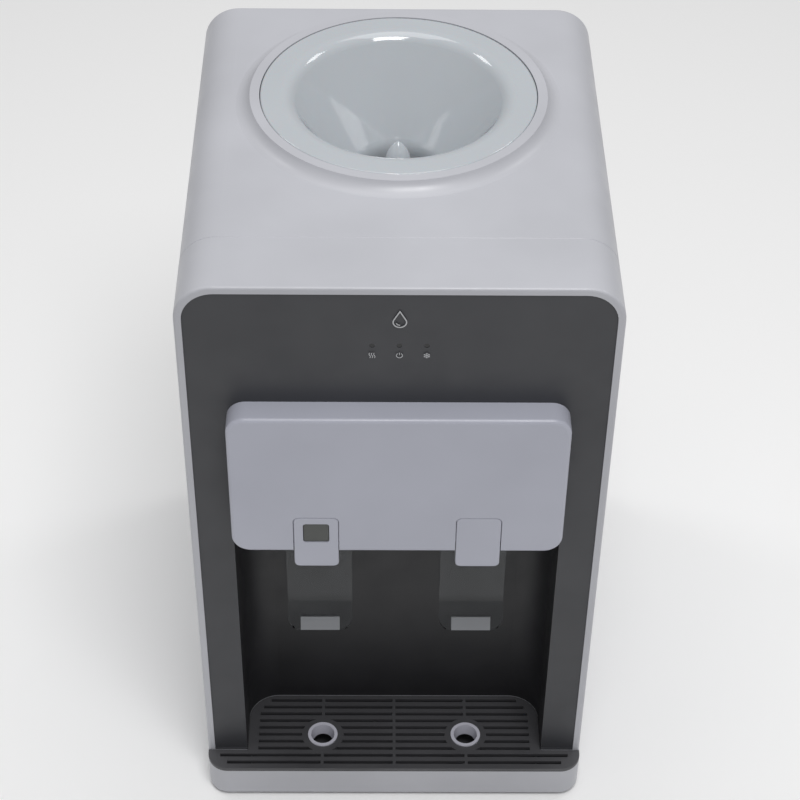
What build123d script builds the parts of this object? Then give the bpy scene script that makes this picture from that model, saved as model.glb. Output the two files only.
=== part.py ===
from build123d import *
from math import cos, radians, sin, tan
import os

os.makedirs("parts", exist_ok=True)

# A countertop water dispenser for an upturned bottle: a hot and a cold tap over a drip tray, a
# cooled tank under the bottle seat, a heated tank below it and a compressor circuit behind.
# Millimetres. X runs to the right, Y to the back and Z up from the table the feet stand on.

# Overall body
BODY_WIDTH = 310.0
BODY_DEPTH = 355.0  # front plane to the rear edge
TOP_HEIGHT = 532.5  # table to the flat top
SHOULDER_RADIUS = 28.5
LIP_REACH = 20.5  # drip tray lip in front of the front plane
BASE_HEIGHT = 35.0  # table to the top of the base and of the drip grille
FOOT_HEIGHT = 3.0
FOOT_RADIUS = 9.0
FOOT_INSET = 28.0
FOOT_RECESS = 0.5
FOOT_EDGE_RADIUS = 1.0

# Base pan, drip basin and grille
BASE_WALL = 3.0
BASE_EDGE_RADIUS = 1.5
LIP_CORNER_RADIUS = 17.0
REAR_CORNER_RADIUS = 5.0
GRILLE_THICKNESS = 3.0
GRILLE_EDGE_RADIUS = 0.6
GRILLE_GAP = 0.3
TRAY_GAP = 0.6
BASIN_WALL = 2.0
SLOT_WIDTH = 3.0
SLOT_PITCH = 7.3
SLOT_ROWS = 10
SLOT_FRONT_SETBACK = 7.0  # lip edge to the middle of the first slot
SLOT_BREAK = 2.5
SLOT_SIDE_MARGIN = 9.0
LIP_SLOT_MARGINS = (16.0, 10.0)
RING_RADIUS = 12.4
RING_BORE_TOP = 9.8
RING_BORE_BOTTOM = 8.2
RING_SEAT_RADIUS = 11.0
RING_DEPTH = 9.0
RING_FLANGE = 1.2
BOSS_RADIUS = 17.5
BOSS_DEPTH = 4.0

# Front: bezel, dark panel with its alcove, tap cover
BEZEL_RIM = 5.5
BEZEL_DEPTH = 56.0
BEZEL_EDGE_RADIUS = 2.0
SEAM_CHAMFER = 0.5  # both edges of the seam between bezel and top cover
SHELL_WALL = 3.0
LEDGE_WIDTH = 4.0
PANEL_SETBACK = 1.0
PANEL_THICKNESS = 3.0
PANEL_GAP = 0.1
PANEL_FOOT = 1.5
ALCOVE_WIDTH = 245.4
ALCOVE_DEPTH = 58.0
ALCOVE_TOP = 374.5
ALCOVE_CORNER_RADIUS = 25.0
COVER_OVERLAP = 0.1  # alcove's side past the cover's
COVER_BOTTOM = 294.9
COVER_HEIGHT = 133.1
COVER_REACH = 18.7
COVER_CORNER_RADIUS = 14.0
COVER_EDGE_RADIUS = 3.0
COVER_WALL = 2.5
INDICATOR_HEIGHT = 480.9
INDICATOR_PITCH = 19.0
INDICATOR_RADIUS = 1.9
LENS_GAP = 0.05
LENS_RECESS = 0.3
STANDOFF_RADIUS = 3.0
STANDOFF_X = 30.4
BOARD_WIDTH = 76.0
BOARD_TALL = 19.0
BOARD_STANDOFF = 8.0
BOARD_THICKNESS = 1.6

# Sheet-metal body
SHEET = 1.2
SKIRT_HEIGHT = 60.0  # top cover, from its top down to its lower edge
SHEET_INSET = 3.0  # side panels' rear flanges in from the rear edge
RECESS_DEPTH = 26.0  # rear edge to the outer face of the rear panel
RECESS_WIDTH = 280.0
SCREW_RADIUS = 1.5
SCREW_HEAD_RADIUS = 3.5
SCREW_HEAD_HEIGHT = 2.0
SCREW_LENGTH = 9.0
SCREW_GAP = 0.15
SCREW_HEIGHTS = (60.0, 250.0, 440.0)

# Bottle seat
SEAT_BACKSET = 223.3  # front plane to the middle of the bottle seat
SEAT_RADIUS = 104.3
SEAT_GAP = 0.4
RIM_RISE = 8.0  # raised ring round the seat over the flat top
RIM_FLAT = 112.0
RIM_FOOT = 122.5
SEAT_WALL = 3.0
SEAT_SKIRT = 13.5
BOWL_LIP_RADIUS = 89.0
BOWL_ROLL = 13.0
BOWL_SLOPE = 57.0
THROAT_RADIUS = 34.0
THROAT_ROLL = 20.0
THROAT_LENGTH = 85.5  # rim to the throat's lower end
PROBE_RADIUS = 9.75
PROBE_TIP_DROP = 45.0  # rim to the probe's tip
PROBE_CONE = 16.5
PROBE_BULGE = (0.82, 0.40)  # of its radius and of the cone's height
PROBE_TIP_RADIUS = 0.6
PROBE_RIB = 3.0
PROBE_FOOT = 9.0
PROBE_WINDOW = 30.0

# Cold tank
TANK_RADIUS = 65.0
TANK_SHEET = 1.0
TANK_HEIGHT = 148.0
NECK_HEIGHT = 14.0
NECK_GAP = 4.0
FOAM_RADIUS = 90.0
FOAM_FLOOR = 15.0
COIL_TUBE_RADIUS = 3.0
COIL_GAP = 0.4
COIL_PITCH = 10.0
COIL_TURNS = 7
COIL_START = 18.0  # over the tank's floor
BAFFLE_HEIGHT = 100.0
SHELF_FRONT = -101.0  # from the middle of the tank
SHELF_BACK = 94.0

# Hot tank, from the middle of the bottle seat
HOT_X = -75.0
HOT_BACKSET = -46.0
HOT_RADIUS = 45.0
HOT_BOTTOM = 110.0
HOT_HEIGHT = 120.0
HOT_EDGE_RADIUS = 2.0
BAND_THICKNESS = 3.6
BAND_HEIGHT = 40.0
BAND_CLAMP = (24.0, 12.0, 20.0)
SNAP_DISC_X = 24.0  # each side of the hot tank's middle
SNAP_DISC_Y = 8.0
SNAP_DISC_RADIUS = 12.0
SNAP_DISC_HEIGHT = 8.0
CONTROL_INSET = 40.0  # cold control from the left side
CONTROL_Y = 70.0  # behind the middle of the tank
CONTROL_SIZE = (42.0, 28.0, 36.0)
KNOB_RADIUS = 6.0
KNOB_HEIGHT = 12.0
BRACKET_MARGIN = 6.0
BRACKET_DEPTH = 71.4
NIPPLE_RADIUS = 6.0
NIPPLE_LENGTH = 14.0
HOSE_RADIUS = 6.0
HOSE_BORE = 4.0
HOLE_GAP = 0.6

# Taps
TAP_SPREAD = 60.0  # each side of the middle
TAP_REACH = 15.3  # spout axis behind the front plane
BARREL_RADIUS = 11.0
BARREL_BOTTOM = 315.0
BARREL_TOP = 352.0
SPOUT_RADIUS = 6.5
SPOUT_BORE = 4.0
SPOUT_BOTTOM = 284.0
CHAMBER_RADIUS = 7.0
SEAT_LEVEL = 318.0
SHANK_HEIGHT = 327.5
SHANK_RADIUS = 8.0
SHANK_BORE = 4.5
SHANK_GAP = 0.4
SHANK_TAIL = 17.3  # past the alcove's back wall
TAP_FLANGE = 3.0
NUT_ACROSS = 24.0
NUT_THICKNESS = 8.0
BONNET_HEIGHT = 9.0
STEM_RADIUS = 2.5
STEM_GAP = 0.05
PLUG_RADIUS = 6.0
PLUG_HEIGHT = 4.0
STEM_HEAD_RADIUS = 7.0
STEM_HEAD_BOTTOM = 364.4
STEM_HEAD_HEIGHT = 3.0
SPRING_WIRE = 0.6
SPRING_RADIUS = 4.6
SPRING_TURNS = 6

# Levers
PIVOT_LEAD = 16.0  # pivot in front of the spout axis
PIVOT_HEIGHT = 345.5
PIN_RADIUS = 2.0
PIN_GAP = 0.05
PIN_LENGTH = 36.0
FORK_GAP = 1.0  # barrel to fork arm
FORK_ARM = 5.0
NUB_RADIUS = 1.5
NUB_HEIGHT = 362.7
NUB_GAP = 3.5
TAB_WIDTH = 33.0
TAB_HEIGHT = 50.9
TAB_TOP = 330.2
TAB_THICKNESS = 2.5
TAB_CORNER_RADIUS = 4.2
TAB_EDGE_RADIUS = 0.8
TAB_GAP = 0.5
PADDLE_WIDTH = 51.0
PADDLE_THICKNESS = 2.0
PADDLE_SETBACK = 11.5  # paddle's front face behind the spout axis
PADDLE_TOP = 311.0
PADDLE_BEND = 193.0
PADDLE_BEND_RADIUS = 12.0
PADDLE_TIP = 167.5
PADDLE_LEAN = 24.0
PADDLE_CORNER_RADIUS = 10.0
CROSSBAR_HEIGHT = 10.0
CROSSBAR_THICKNESS = 3.0
CROSSBAR_BOTTOM = 297.0
PAD_WIDTH = 31.0
PAD_HEIGHT = 11.5
PAD_EDGE_RADIUS = 0.4
PAD_RISE = 1.0  # paddle's tip to the pad's foot, along the paddle
PAD_THICKNESS = 1.6
LOCK_WIDTH = 18.8
LOCK_HEIGHT = 18.8
LOCK_MIDDLE = 314.4
LOCK_RECESS = 0.8
LOCK_DEPTH = 6.0
LOCK_GAP = 0.3
LOCK_CORNER_RADIUS = 2.0
LOCK_EDGE_RADIUS = 0.4
LOCK_SLEEVE = 5.0
LOCK_SLEEVE_WALL = 1.4

# Compressor circuit
COMPRESSOR_X = 65.0
COMPRESSOR_BACKSET = 29.0  # behind the middle of the bottle seat
COMPRESSOR_LONG = 68.0
COMPRESSOR_SHORT = 54.0
COMPRESSOR_BOTTOM = 22.0
COMPRESSOR_HEIGHT = 120.0
COMPRESSOR_DOME = 25.0
MOUNT_PLATE = 3.0
MOUNT_X = 56.0
MOUNT_Y = 40.0
GROMMET_RADIUS = 9.0
LINE_RADIUS = 3.0
CONDENSER_TUBE = 2.4
CONDENSER_WIRE = 0.8
CONDENSER_BITE = 0.3
CONDENSER_HALF = 118.0
CONDENSER_BOTTOM = 160.0
CONDENSER_PITCH = 24.0
CONDENSER_RUNS = 12
CONDENSER_STANDOFF = 11.0
WIRE_PITCH = 16.0
DRIER_X = 98.0
DRIER_BACKSET = 82.0
DRIER_RADIUS = 9.0
DRIER_BOTTOM = 182.0
DRIER_HEIGHT = 80.0
SUCTION_X = 112.0
DISCHARGE_LEAD = 20.0  # discharge riser in front of the drier
TERMINAL_WIDTH = 36.0
TERMINAL_DEPTH = 8.0
TERMINAL_HEIGHT = 40.0
SUCTION_PORT = (30.0, -14.0)  # both ports from the middle of the dome
DISCHARGE_PORT = (18.0, 16.0)
SUCTION_CREST = 30.0
DISCHARGE_CREST = 22.0

# Rear fittings
DRAIN_XS = (-40.0, -8.0)
DRAIN_HEIGHT = 60.0
SPIGOT_RADIUS = 8.0
SPIGOT_BORE = 5.0
SPIGOT_LENGTH = 12.0
CAP_RADIUS = 11.5
CAP_GAP = 0.3
CAP_LENGTH = 15.0
CAP_FLUTES = 12
INLET_X = -110.0
INLET_HEIGHT = 75.0
INLET_FLANGE = (50.0, 26.0)
INLET_FLANGE_THICKNESS = 2.5
INLET_CORNER_RADIUS = 6.0
INLET_BODY = (28.0, 20.0)
INLET_DEPTH = 24.0
INLET_SOCKET = (24.2, 16.4)
INLET_SOCKET_DEPTH = 19.0
INLET_SOCKET_CHAMFER = 4.0
PIN_PITCH = 7.0
PIN_OFFSET = 2.0  # earth pin over the middle, the other two under it
PIN_SECTION = (2.0, 4.0)
PIN_SETBACK = 1.0
BLADE_LENGTH = 16.0
SWITCH_XS = (-112.0, -84.0)
SWITCH_DROP = 20.0  # below the top cover's lower edge
SWITCH_WIDTH = 21.0
SWITCH_TALL = 28.0
SWITCH_CORNER_RADIUS = 2.0
SWITCH_FLANGE = 2.0
SWITCH_DEPTH = 16.0
SWITCH_POCKET = 12.0
ROCKER_WIDTH = 13.0
ROCKER_TALL = 19.0
ROCKER_SIDE_GAP = 0.5
ROCKER_END_GAP = 0.75
ROCKER_HEEL = 3.0
ROCKER_RISE = 3.0  # rear plane to the valley over the pivot
ROCKER_PEAK = 4.4
ROCKER_TILT = 10.0
BOX_DEPTH = 70.0
BOX_HEIGHT = 90.0
BOX_THICKNESS = 34.0
BOX_MIDDLE = 90.0

# Places worked out from the sizes above
HALF_WIDTH = BODY_WIDTH / 2
COVER_WIDTH = ALCOVE_WIDTH - 2 * COVER_OVERLAP
REAR_Y = (BODY_DEPTH + LIP_REACH) / 2
FRONT_Y = REAR_Y - BODY_DEPTH
LIP_Y = FRONT_Y - LIP_REACH
BACK_WALL_Y = FRONT_Y + ALCOVE_DEPTH
BASE_FLOOR_Z = FOOT_HEIGHT + BASE_WALL
LIP_RIM_Z = BASE_HEIGHT - GRILLE_THICKNESS
PANEL_Y = FRONT_Y + PANEL_SETBACK
LEDGE_Y = PANEL_Y + PANEL_THICKNESS
BEZEL_BACK_Y = FRONT_Y + BEZEL_DEPTH
SKIRT_Z = TOP_HEIGHT - SKIRT_HEIGHT
RECESS_Y = REAR_Y - RECESS_DEPTH
FLANGE_Y = REAR_Y - SHEET_INSET
RIM_Z = TOP_HEIGHT + RIM_RISE
SEAT_Y = FRONT_Y + SEAT_BACKSET
SEAT_LEDGE_Z = RIM_Z - SEAT_SKIRT
THROAT_Z = RIM_Z - THROAT_LENGTH
NECK_RADIUS = THROAT_RADIUS + SEAT_WALL + NECK_GAP
TANK_TOP_Z = THROAT_Z + PROBE_RIB * 2 - NECK_HEIGHT
TANK_Z = TANK_TOP_Z - TANK_HEIGHT
COIL_RADIUS = TANK_RADIUS + COIL_GAP + COIL_TUBE_RADIUS
COIL_Z = TANK_Z + COIL_START
SHELF_Z = TANK_Z - FOAM_FLOOR
HOT_Y = SEAT_Y + HOT_BACKSET
HOT_TOP_Z = HOT_BOTTOM + HOT_HEIGHT
TAP_Y = FRONT_Y + TAP_REACH
TAP_XS = (-TAP_SPREAD, TAP_SPREAD)
PIVOT_Y = TAP_Y - PIVOT_LEAD
FORK_HALF_GAP = BARREL_RADIUS + FORK_GAP
COVER_Y = FRONT_Y - COVER_REACH
TAB_BACK_Y = COVER_Y + TAB_THICKNESS
SHANK_END_Y = BACK_WALL_Y + SHANK_TAIL
BONNET_TOP = BARREL_TOP + BONNET_HEIGHT
PADDLE_Y = TAP_Y + PADDLE_SETBACK
COMPRESSOR_Y = SEAT_Y + COMPRESSOR_BACKSET
COMPRESSOR_TOP_Z = COMPRESSOR_BOTTOM + COMPRESSOR_HEIGHT
CONDENSER_Y = RECESS_Y + CONDENSER_STANDOFF
DRIER_Y = SEAT_Y + DRIER_BACKSET
DISCHARGE_Y = DRIER_Y - DISCHARGE_LEAD
CONDENSER_INLET_X = CONDENSER_HALF + DRIER_RADIUS
SWITCH_Z = SKIRT_Z - SWITCH_DROP
CONDENSER_TOP_Z = CONDENSER_BOTTOM + (CONDENSER_RUNS - 1) * CONDENSER_PITCH
LOW = (Align.CENTER, Align.CENTER, Align.MIN)


def save(piece, name):
    """Label a finished piece and write it as its own file."""
    piece.label = name
    export_step(piece, f"parts/{name}.step")


def seen_from_front(y):
    """A sketch plane at depth y, X to the right and Z up, that extrudes toward the front."""
    return Plane.XZ.offset(-y)


def upright_section(x, y):
    """A sketch plane through the vertical axis at x, y: radius to the right, height up."""
    return Plane(origin=(x, y, 0), x_dir=(1, 0, 0), z_dir=(0, -1, 0))


def draw_arch(inset, bottom):
    """Draw the body's arch section: straight sides that rise from bottom to round shoulders."""
    half = HALF_WIDTH - inset
    top = TOP_HEIGHT - inset
    with BuildSketch(mode=Mode.PRIVATE) as outline:
        with BuildLine():
            FilletPolyline(
                (-half, bottom), (-half, top), (half, top), (half, bottom),
                radius=SHOULDER_RADIUS - inset,
            )
            Line((half, bottom), (-half, bottom))
        make_face()
    add(outline.sketch)


def draw_base(inset):
    """Draw the base's outline with its large front corners."""
    with BuildSketch(mode=Mode.PRIVATE) as outline:
        with Locations((0, (LIP_Y + REAR_Y) / 2)):
            Rectangle(BODY_WIDTH - 2 * inset, REAR_Y - LIP_Y - 2 * inset)
        fillet(outline.vertices().group_by(Axis.Y)[0], LIP_CORNER_RADIUS - inset)
        fillet(outline.vertices().group_by(Axis.Y)[-1], REAR_CORNER_RADIUS - inset)
    add(outline.sketch)


def draw_tray(lip_inset, shrink, mode=Mode.ADD):
    """Draw the drip tray's T: a full-width bar in front and a stem that fills the alcove."""
    bar_half = HALF_WIDTH - lip_inset
    front = LIP_Y + lip_inset
    bar_back = FRONT_Y - shrink
    stem_half = ALCOVE_WIDTH / 2 - shrink
    back = BACK_WALL_Y - shrink
    with BuildSketch(mode=Mode.PRIVATE) as outline:
        with BuildLine():
            Polyline(
                (-bar_half, front), (bar_half, front), (bar_half, bar_back), (stem_half, bar_back),
                (stem_half, back), (-stem_half, back), (-stem_half, bar_back), (-bar_half, bar_back),
                close=True,
            )
        make_face()
        fillet(outline.vertices().group_by(Axis.Y)[0], LIP_CORNER_RADIUS - lip_inset)
        fillet(outline.vertices().group_by(Axis.Y)[-1], ALCOVE_CORNER_RADIUS - shrink)
    add(outline.sketch, mode=mode)


def hose(points, radii, outer, bore=0.0):
    """A tube along straight runs joined by tangent arcs."""
    with BuildPart() as run:
        with BuildLine() as route:
            FilletPolyline(*points, radius=radii)
        with BuildSketch(Plane(origin=route.line @ 0, z_dir=route.line % 0)):
            Circle(outer)
            if bore:
                Circle(bore, mode=Mode.SUBTRACT)
        sweep()
    return run.part


# Base pan: a moulded tray with a T-shaped well for the drip basin and a chamber behind it
foot_places = [
    (x * (HALF_WIDTH - FOOT_INSET), y)
    for x in (-1, 1)
    for y in (LIP_Y + FOOT_INSET, REAR_Y - FOOT_INSET)
]
with BuildPart() as base_pan:
    with BuildSketch(Plane.XY.offset(FOOT_HEIGHT)):
        draw_base(0)
    extrude(amount=BASE_HEIGHT - FOOT_HEIGHT)
    fillet(base_pan.edges().group_by(Axis.Z)[0], BASE_EDGE_RADIUS)
    with BuildSketch(Plane.XY.offset(BASE_FLOOR_Z)):
        draw_base(BASE_WALL)
        draw_tray(BASE_WALL, -BASE_WALL, mode=Mode.SUBTRACT)
    extrude(amount=LIP_RIM_Z - BASE_FLOOR_Z, mode=Mode.SUBTRACT)
    with BuildSketch(Plane.XY.offset(LIP_RIM_Z)):
        draw_base(BASE_WALL)
        draw_tray(BASE_WALL, -BASE_WALL, mode=Mode.SUBTRACT)
        with Locations((0, REAR_Y)):
            Rectangle(BODY_WIDTH, 2 * RECESS_DEPTH + 2 * SHEET, mode=Mode.SUBTRACT)
    extrude(amount=GRILLE_THICKNESS, mode=Mode.SUBTRACT)
    with BuildSketch(Plane.XY.offset(BASE_FLOOR_Z)):
        draw_tray(BASE_WALL, 0)
    extrude(amount=BASE_HEIGHT, mode=Mode.SUBTRACT)
    with Locations((0, FRONT_Y, LIP_RIM_Z)):
        Box(
            BODY_WIDTH, 2 * LIP_REACH, GRILLE_THICKNESS,
            align=(Align.CENTER, Align.MAX, Align.MIN), mode=Mode.SUBTRACT,
        )
    with Locations([(x, y, FOOT_HEIGHT) for x, y in foot_places]):
        Cylinder(FOOT_RADIUS + SEAT_GAP, FOOT_RECESS, align=LOW, mode=Mode.SUBTRACT)
save(base_pan.part, "base_pan")

with BuildPart() as rubber_feet:
    with Locations([(x, y, 0) for x, y in foot_places]):
        Cylinder(FOOT_RADIUS, FOOT_HEIGHT + FOOT_RECESS, align=LOW)
    fillet(rubber_feet.edges().group_by(Axis.Z)[0], FOOT_EDGE_RADIUS)
save(rubber_feet.part, "rubber_feet")

with BuildPart() as drip_basin:
    with BuildSketch(Plane.XY.offset(BASE_FLOOR_Z)):
        draw_tray(BASE_WALL + TRAY_GAP, TRAY_GAP)
    extrude(amount=LIP_RIM_Z - BASE_FLOOR_Z)
    with BuildSketch(Plane.XY.offset(BASE_FLOOR_Z + BASIN_WALL)):
        draw_tray(BASE_WALL + TRAY_GAP + BASIN_WALL, TRAY_GAP + BASIN_WALL)
    extrude(amount=BASE_HEIGHT, mode=Mode.SUBTRACT)
save(drip_basin.part, "drip_basin")

# Drip grille: a slotted plate that covers the lip and the alcove's floor
ring_places = [(x, TAP_Y) for x in TAP_XS]
with BuildPart() as drip_grille:
    with BuildSketch(Plane.XY.offset(LIP_RIM_Z)):
        draw_tray(0, GRILLE_GAP)
    extrude(amount=GRILLE_THICKNESS)
    fillet(drip_grille.edges().group_by(Axis.Z)[-1], GRILLE_EDGE_RADIUS)
    with BuildSketch(Plane.XY.offset(LIP_RIM_Z - BOSS_DEPTH)):
        with Locations(ring_places):
            Circle(BOSS_RADIUS)
    extrude(amount=BOSS_DEPTH)
    with BuildSketch(Plane.XY.offset(LIP_RIM_Z - BOSS_DEPTH)):
        for row in range(SLOT_ROWS):
            slot_y = LIP_Y + SLOT_FRONT_SETBACK + row * SLOT_PITCH
            if row < len(LIP_SLOT_MARGINS):
                slot_half = HALF_WIDTH - LIP_SLOT_MARGINS[row]
            else:
                corner_bite = max(0.0, slot_y + ALCOVE_CORNER_RADIUS - BACK_WALL_Y)
                rounding = ALCOVE_CORNER_RADIUS - (ALCOVE_CORNER_RADIUS**2 - corner_bite**2) ** 0.5
                slot_half = ALCOVE_WIDTH / 2 - SLOT_SIDE_MARGIN - rounding
            with Locations((0, slot_y)):
                Rectangle(2 * slot_half, SLOT_WIDTH)
        for x in (-TAP_SPREAD, 0, TAP_SPREAD):
            with Locations((x, 0)):
                Rectangle(SLOT_BREAK, 2 * BODY_DEPTH, mode=Mode.SUBTRACT)
        with Locations(ring_places):
            Circle(BOSS_RADIUS, mode=Mode.SUBTRACT)
    extrude(amount=BOSS_DEPTH + GRILLE_THICKNESS, mode=Mode.SUBTRACT)
    with BuildSketch(Plane.XY.offset(LIP_RIM_Z - BOSS_DEPTH)):
        with Locations(ring_places):
            Circle(RING_SEAT_RADIUS + PANEL_GAP)
    extrude(amount=BOSS_DEPTH + GRILLE_THICKNESS, mode=Mode.SUBTRACT)
save(drip_grille.part, "drip_grille")

with BuildPart() as drain_rings:
    for x, y in ring_places:
        with BuildSketch(upright_section(x, y)):
            with BuildLine():
                Polyline(
                    (RING_BORE_BOTTOM, BASE_HEIGHT - RING_DEPTH),
                    (RING_SEAT_RADIUS, BASE_HEIGHT - RING_DEPTH),
                    (RING_SEAT_RADIUS, BASE_HEIGHT),
                    (RING_RADIUS, BASE_HEIGHT),
                    (RING_RADIUS, BASE_HEIGHT + RING_FLANGE),
                    (RING_BORE_TOP, BASE_HEIGHT + RING_FLANGE),
                    close=True,
                )
            make_face()
        revolve(axis=Axis((x, y, 0), (0, 0, 1)))
save(drain_rings.part, "drain_rings")

# Front bezel: an arch with a slim rim and an inner ledge for the dark panel
with BuildPart() as front_bezel:
    with BuildSketch(seen_from_front(FRONT_Y)):
        draw_arch(0, BASE_HEIGHT)
    extrude(amount=-BEZEL_DEPTH)
    rim_edges = front_bezel.faces().sort_by(Axis.Y)[0].edges().sort_by(Axis.Z)[1:]
    fillet(rim_edges, BEZEL_EDGE_RADIUS)
    chamfer(front_bezel.faces().sort_by(Axis.Y)[-1].edges().sort_by(Axis.Z)[1:], SEAM_CHAMFER)
    for start, depth, inset in (
        (FRONT_Y, LEDGE_Y - FRONT_Y, BEZEL_RIM),
        (LEDGE_Y, PANEL_THICKNESS, BEZEL_RIM + LEDGE_WIDTH),
        (LEDGE_Y + PANEL_THICKNESS, BEZEL_DEPTH, SHELL_WALL),
    ):
        with BuildSketch(seen_from_front(start)):
            draw_arch(inset, FOOT_HEIGHT)
        extrude(amount=-depth, mode=Mode.SUBTRACT)
save(front_bezel.part, "front_bezel")

# Dark front panel: an arch-shaped plate with the deep cup alcove behind its opening
lens_places = [(x, INDICATOR_HEIGHT) for x in (-INDICATOR_PITCH, 0, INDICATOR_PITCH)]
with BuildPart() as front_panel:
    with BuildSketch(seen_from_front(PANEL_Y)):
        draw_arch(BEZEL_RIM + PANEL_GAP, BASE_HEIGHT)
    extrude(amount=-PANEL_THICKNESS)
    with Locations((0, PANEL_Y, BASE_HEIGHT)):
        Box(
            BODY_WIDTH - 2 * (BEZEL_RIM + PANEL_GAP), PANEL_SETBACK, PANEL_FOOT,
            align=(Align.CENTER, Align.MAX, Align.MIN),
        )
    for wall, front, bottom, top, mode in (
        (PANEL_THICKNESS, PANEL_Y, BASE_HEIGHT, ALCOVE_TOP + PANEL_THICKNESS, Mode.ADD),
        (0, FRONT_Y, BASE_HEIGHT, ALCOVE_TOP, Mode.SUBTRACT),
    ):
        with BuildSketch(Plane.XY.offset(bottom)) as tub:
            with Locations((0, front)):
                Rectangle(
                    ALCOVE_WIDTH + 2 * wall, BACK_WALL_Y + wall - front,
                    align=(Align.CENTER, Align.MIN),
                )
            fillet(tub.vertices().group_by(Axis.Y)[-1], ALCOVE_CORNER_RADIUS + wall)
        extrude(amount=top - bottom, mode=mode)
    with BuildSketch(seen_from_front(LEDGE_Y)):
        with Locations([(x, INDICATOR_HEIGHT) for x in (-STANDOFF_X, STANDOFF_X)]):
            Circle(STANDOFF_RADIUS)
    extrude(amount=-BOARD_STANDOFF)
    with BuildSketch(seen_from_front(FRONT_Y)):
        with Locations(lens_places):
            Circle(INDICATOR_RADIUS)
    extrude(amount=-2 * PANEL_THICKNESS, mode=Mode.SUBTRACT)
    with BuildSketch(seen_from_front(BACK_WALL_Y)):
        with Locations([(x, SHANK_HEIGHT) for x in TAP_XS]):
            Circle(SHANK_RADIUS + SHANK_GAP)
    extrude(amount=-PANEL_THICKNESS, mode=Mode.SUBTRACT)
save(front_panel.part, "front_panel")

with BuildPart() as indicator_lenses:
    with BuildSketch(seen_from_front(PANEL_Y + LENS_RECESS)):
        with Locations(lens_places):
            Circle(INDICATOR_RADIUS - LENS_GAP)
    extrude(amount=-(LEDGE_Y + BOARD_STANDOFF - PANEL_Y - LENS_RECESS))
save(indicator_lenses.part, "indicator_lenses")

with BuildPart() as indicator_board:
    with BuildSketch(seen_from_front(LEDGE_Y + BOARD_STANDOFF)):
        with Locations((0, INDICATOR_HEIGHT)):
            Rectangle(BOARD_WIDTH, BOARD_TALL)
    extrude(amount=-BOARD_THICKNESS)
save(indicator_board.part, "indicator_board")

# Tap cover: a shallow hood with two slots that let the lever tabs swing in
with BuildPart() as tap_cover:
    cover_middle = COVER_BOTTOM + COVER_HEIGHT / 2
    with BuildSketch(seen_from_front(PANEL_Y)):
        with Locations((0, cover_middle)):
            RectangleRounded(COVER_WIDTH, COVER_HEIGHT, COVER_CORNER_RADIUS)
    extrude(amount=PANEL_Y - COVER_Y)
    fillet(tap_cover.faces().sort_by(Axis.Y)[0].edges(), COVER_EDGE_RADIUS)
    with BuildSketch(seen_from_front(PANEL_Y)):
        with Locations((0, cover_middle)):
            RectangleRounded(
                COVER_WIDTH - 2 * COVER_WALL, COVER_HEIGHT - 2 * COVER_WALL,
                COVER_CORNER_RADIUS - COVER_WALL,
            )
    extrude(amount=PANEL_Y - COVER_Y - COVER_WALL, mode=Mode.SUBTRACT)
    with BuildSketch(seen_from_front(PANEL_Y)) as slots:
        with Locations([(x, TAB_TOP + TAB_GAP) for x in TAP_XS]):
            Rectangle(
                TAB_WIDTH + 2 * TAB_GAP, TAB_TOP + TAB_GAP - COVER_BOTTOM + COVER_WALL,
                align=(Align.CENTER, Align.MAX),
            )
        fillet(slots.vertices().group_by(Axis.Y)[-1], TAB_CORNER_RADIUS + TAB_GAP)
    extrude(amount=PANEL_Y - COVER_Y, mode=Mode.SUBTRACT)
save(tap_cover.part, "tap_cover")

# Top cover: the arch's rear part, closed at the back, with the raised ring round the bottle seat
collar_radius = SEAT_RADIUS + SEAT_GAP
with BuildPart() as top_cover:
    with BuildSketch(seen_from_front(BEZEL_BACK_Y)):
        draw_arch(0, SKIRT_Z)
    extrude(amount=-(REAR_Y - BEZEL_BACK_Y))
    chamfer(top_cover.faces().sort_by(Axis.Y)[0].edges().sort_by(Axis.Z)[1:], SEAM_CHAMFER)
    fillet(top_cover.faces().sort_by(Axis.Y)[-1].edges().sort_by(Axis.Z)[1:], SHELL_WALL)
    with BuildSketch(seen_from_front(BEZEL_BACK_Y)):
        draw_arch(SHELL_WALL, SKIRT_Z - SHELL_WALL)
    extrude(amount=-(RECESS_Y - SHEET - BEZEL_BACK_Y), mode=Mode.SUBTRACT)
    with BuildSketch(seen_from_front(RECESS_Y - SHEET)):
        draw_arch(SHELL_WALL, SKIRT_Z + SHELL_WALL)
    extrude(amount=-(RECESS_DEPTH + SHEET - SHELL_WALL), mode=Mode.SUBTRACT)
    with Locations((0, SEAT_Y, TOP_HEIGHT)):
        Cylinder(RIM_FLAT, 3 * SHELL_WALL, mode=Mode.SUBTRACT)
    with BuildSketch(upright_section(0, SEAT_Y)) as ring:
        with BuildLine():
            Line((RIM_FLAT, RIM_Z), (collar_radius, RIM_Z))
            Polyline(
                (collar_radius, RIM_Z),
                (collar_radius, SEAT_LEDGE_Z),
                (collar_radius - 2 * SHELL_WALL, SEAT_LEDGE_Z),
                (collar_radius - 2 * SHELL_WALL, SEAT_LEDGE_Z - SHELL_WALL),
                (collar_radius + SHELL_WALL, SEAT_LEDGE_Z - SHELL_WALL),
                (collar_radius + SHELL_WALL, TOP_HEIGHT - SHELL_WALL),
                (RIM_FOOT, TOP_HEIGHT - SHELL_WALL),
                (RIM_FOOT, TOP_HEIGHT),
            )
            ThreePointArc(
                (RIM_FOOT, TOP_HEIGHT),
                ((RIM_FLAT + RIM_FOOT) / 2 - SHEET, TOP_HEIGHT + RIM_RISE / 2 - SHEET),
                (RIM_FLAT, RIM_Z),
            )
        make_face()
    revolve(axis=Axis((0, SEAT_Y, 0), (0, 0, 1)))
save(top_cover.part, "top_cover")

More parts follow.
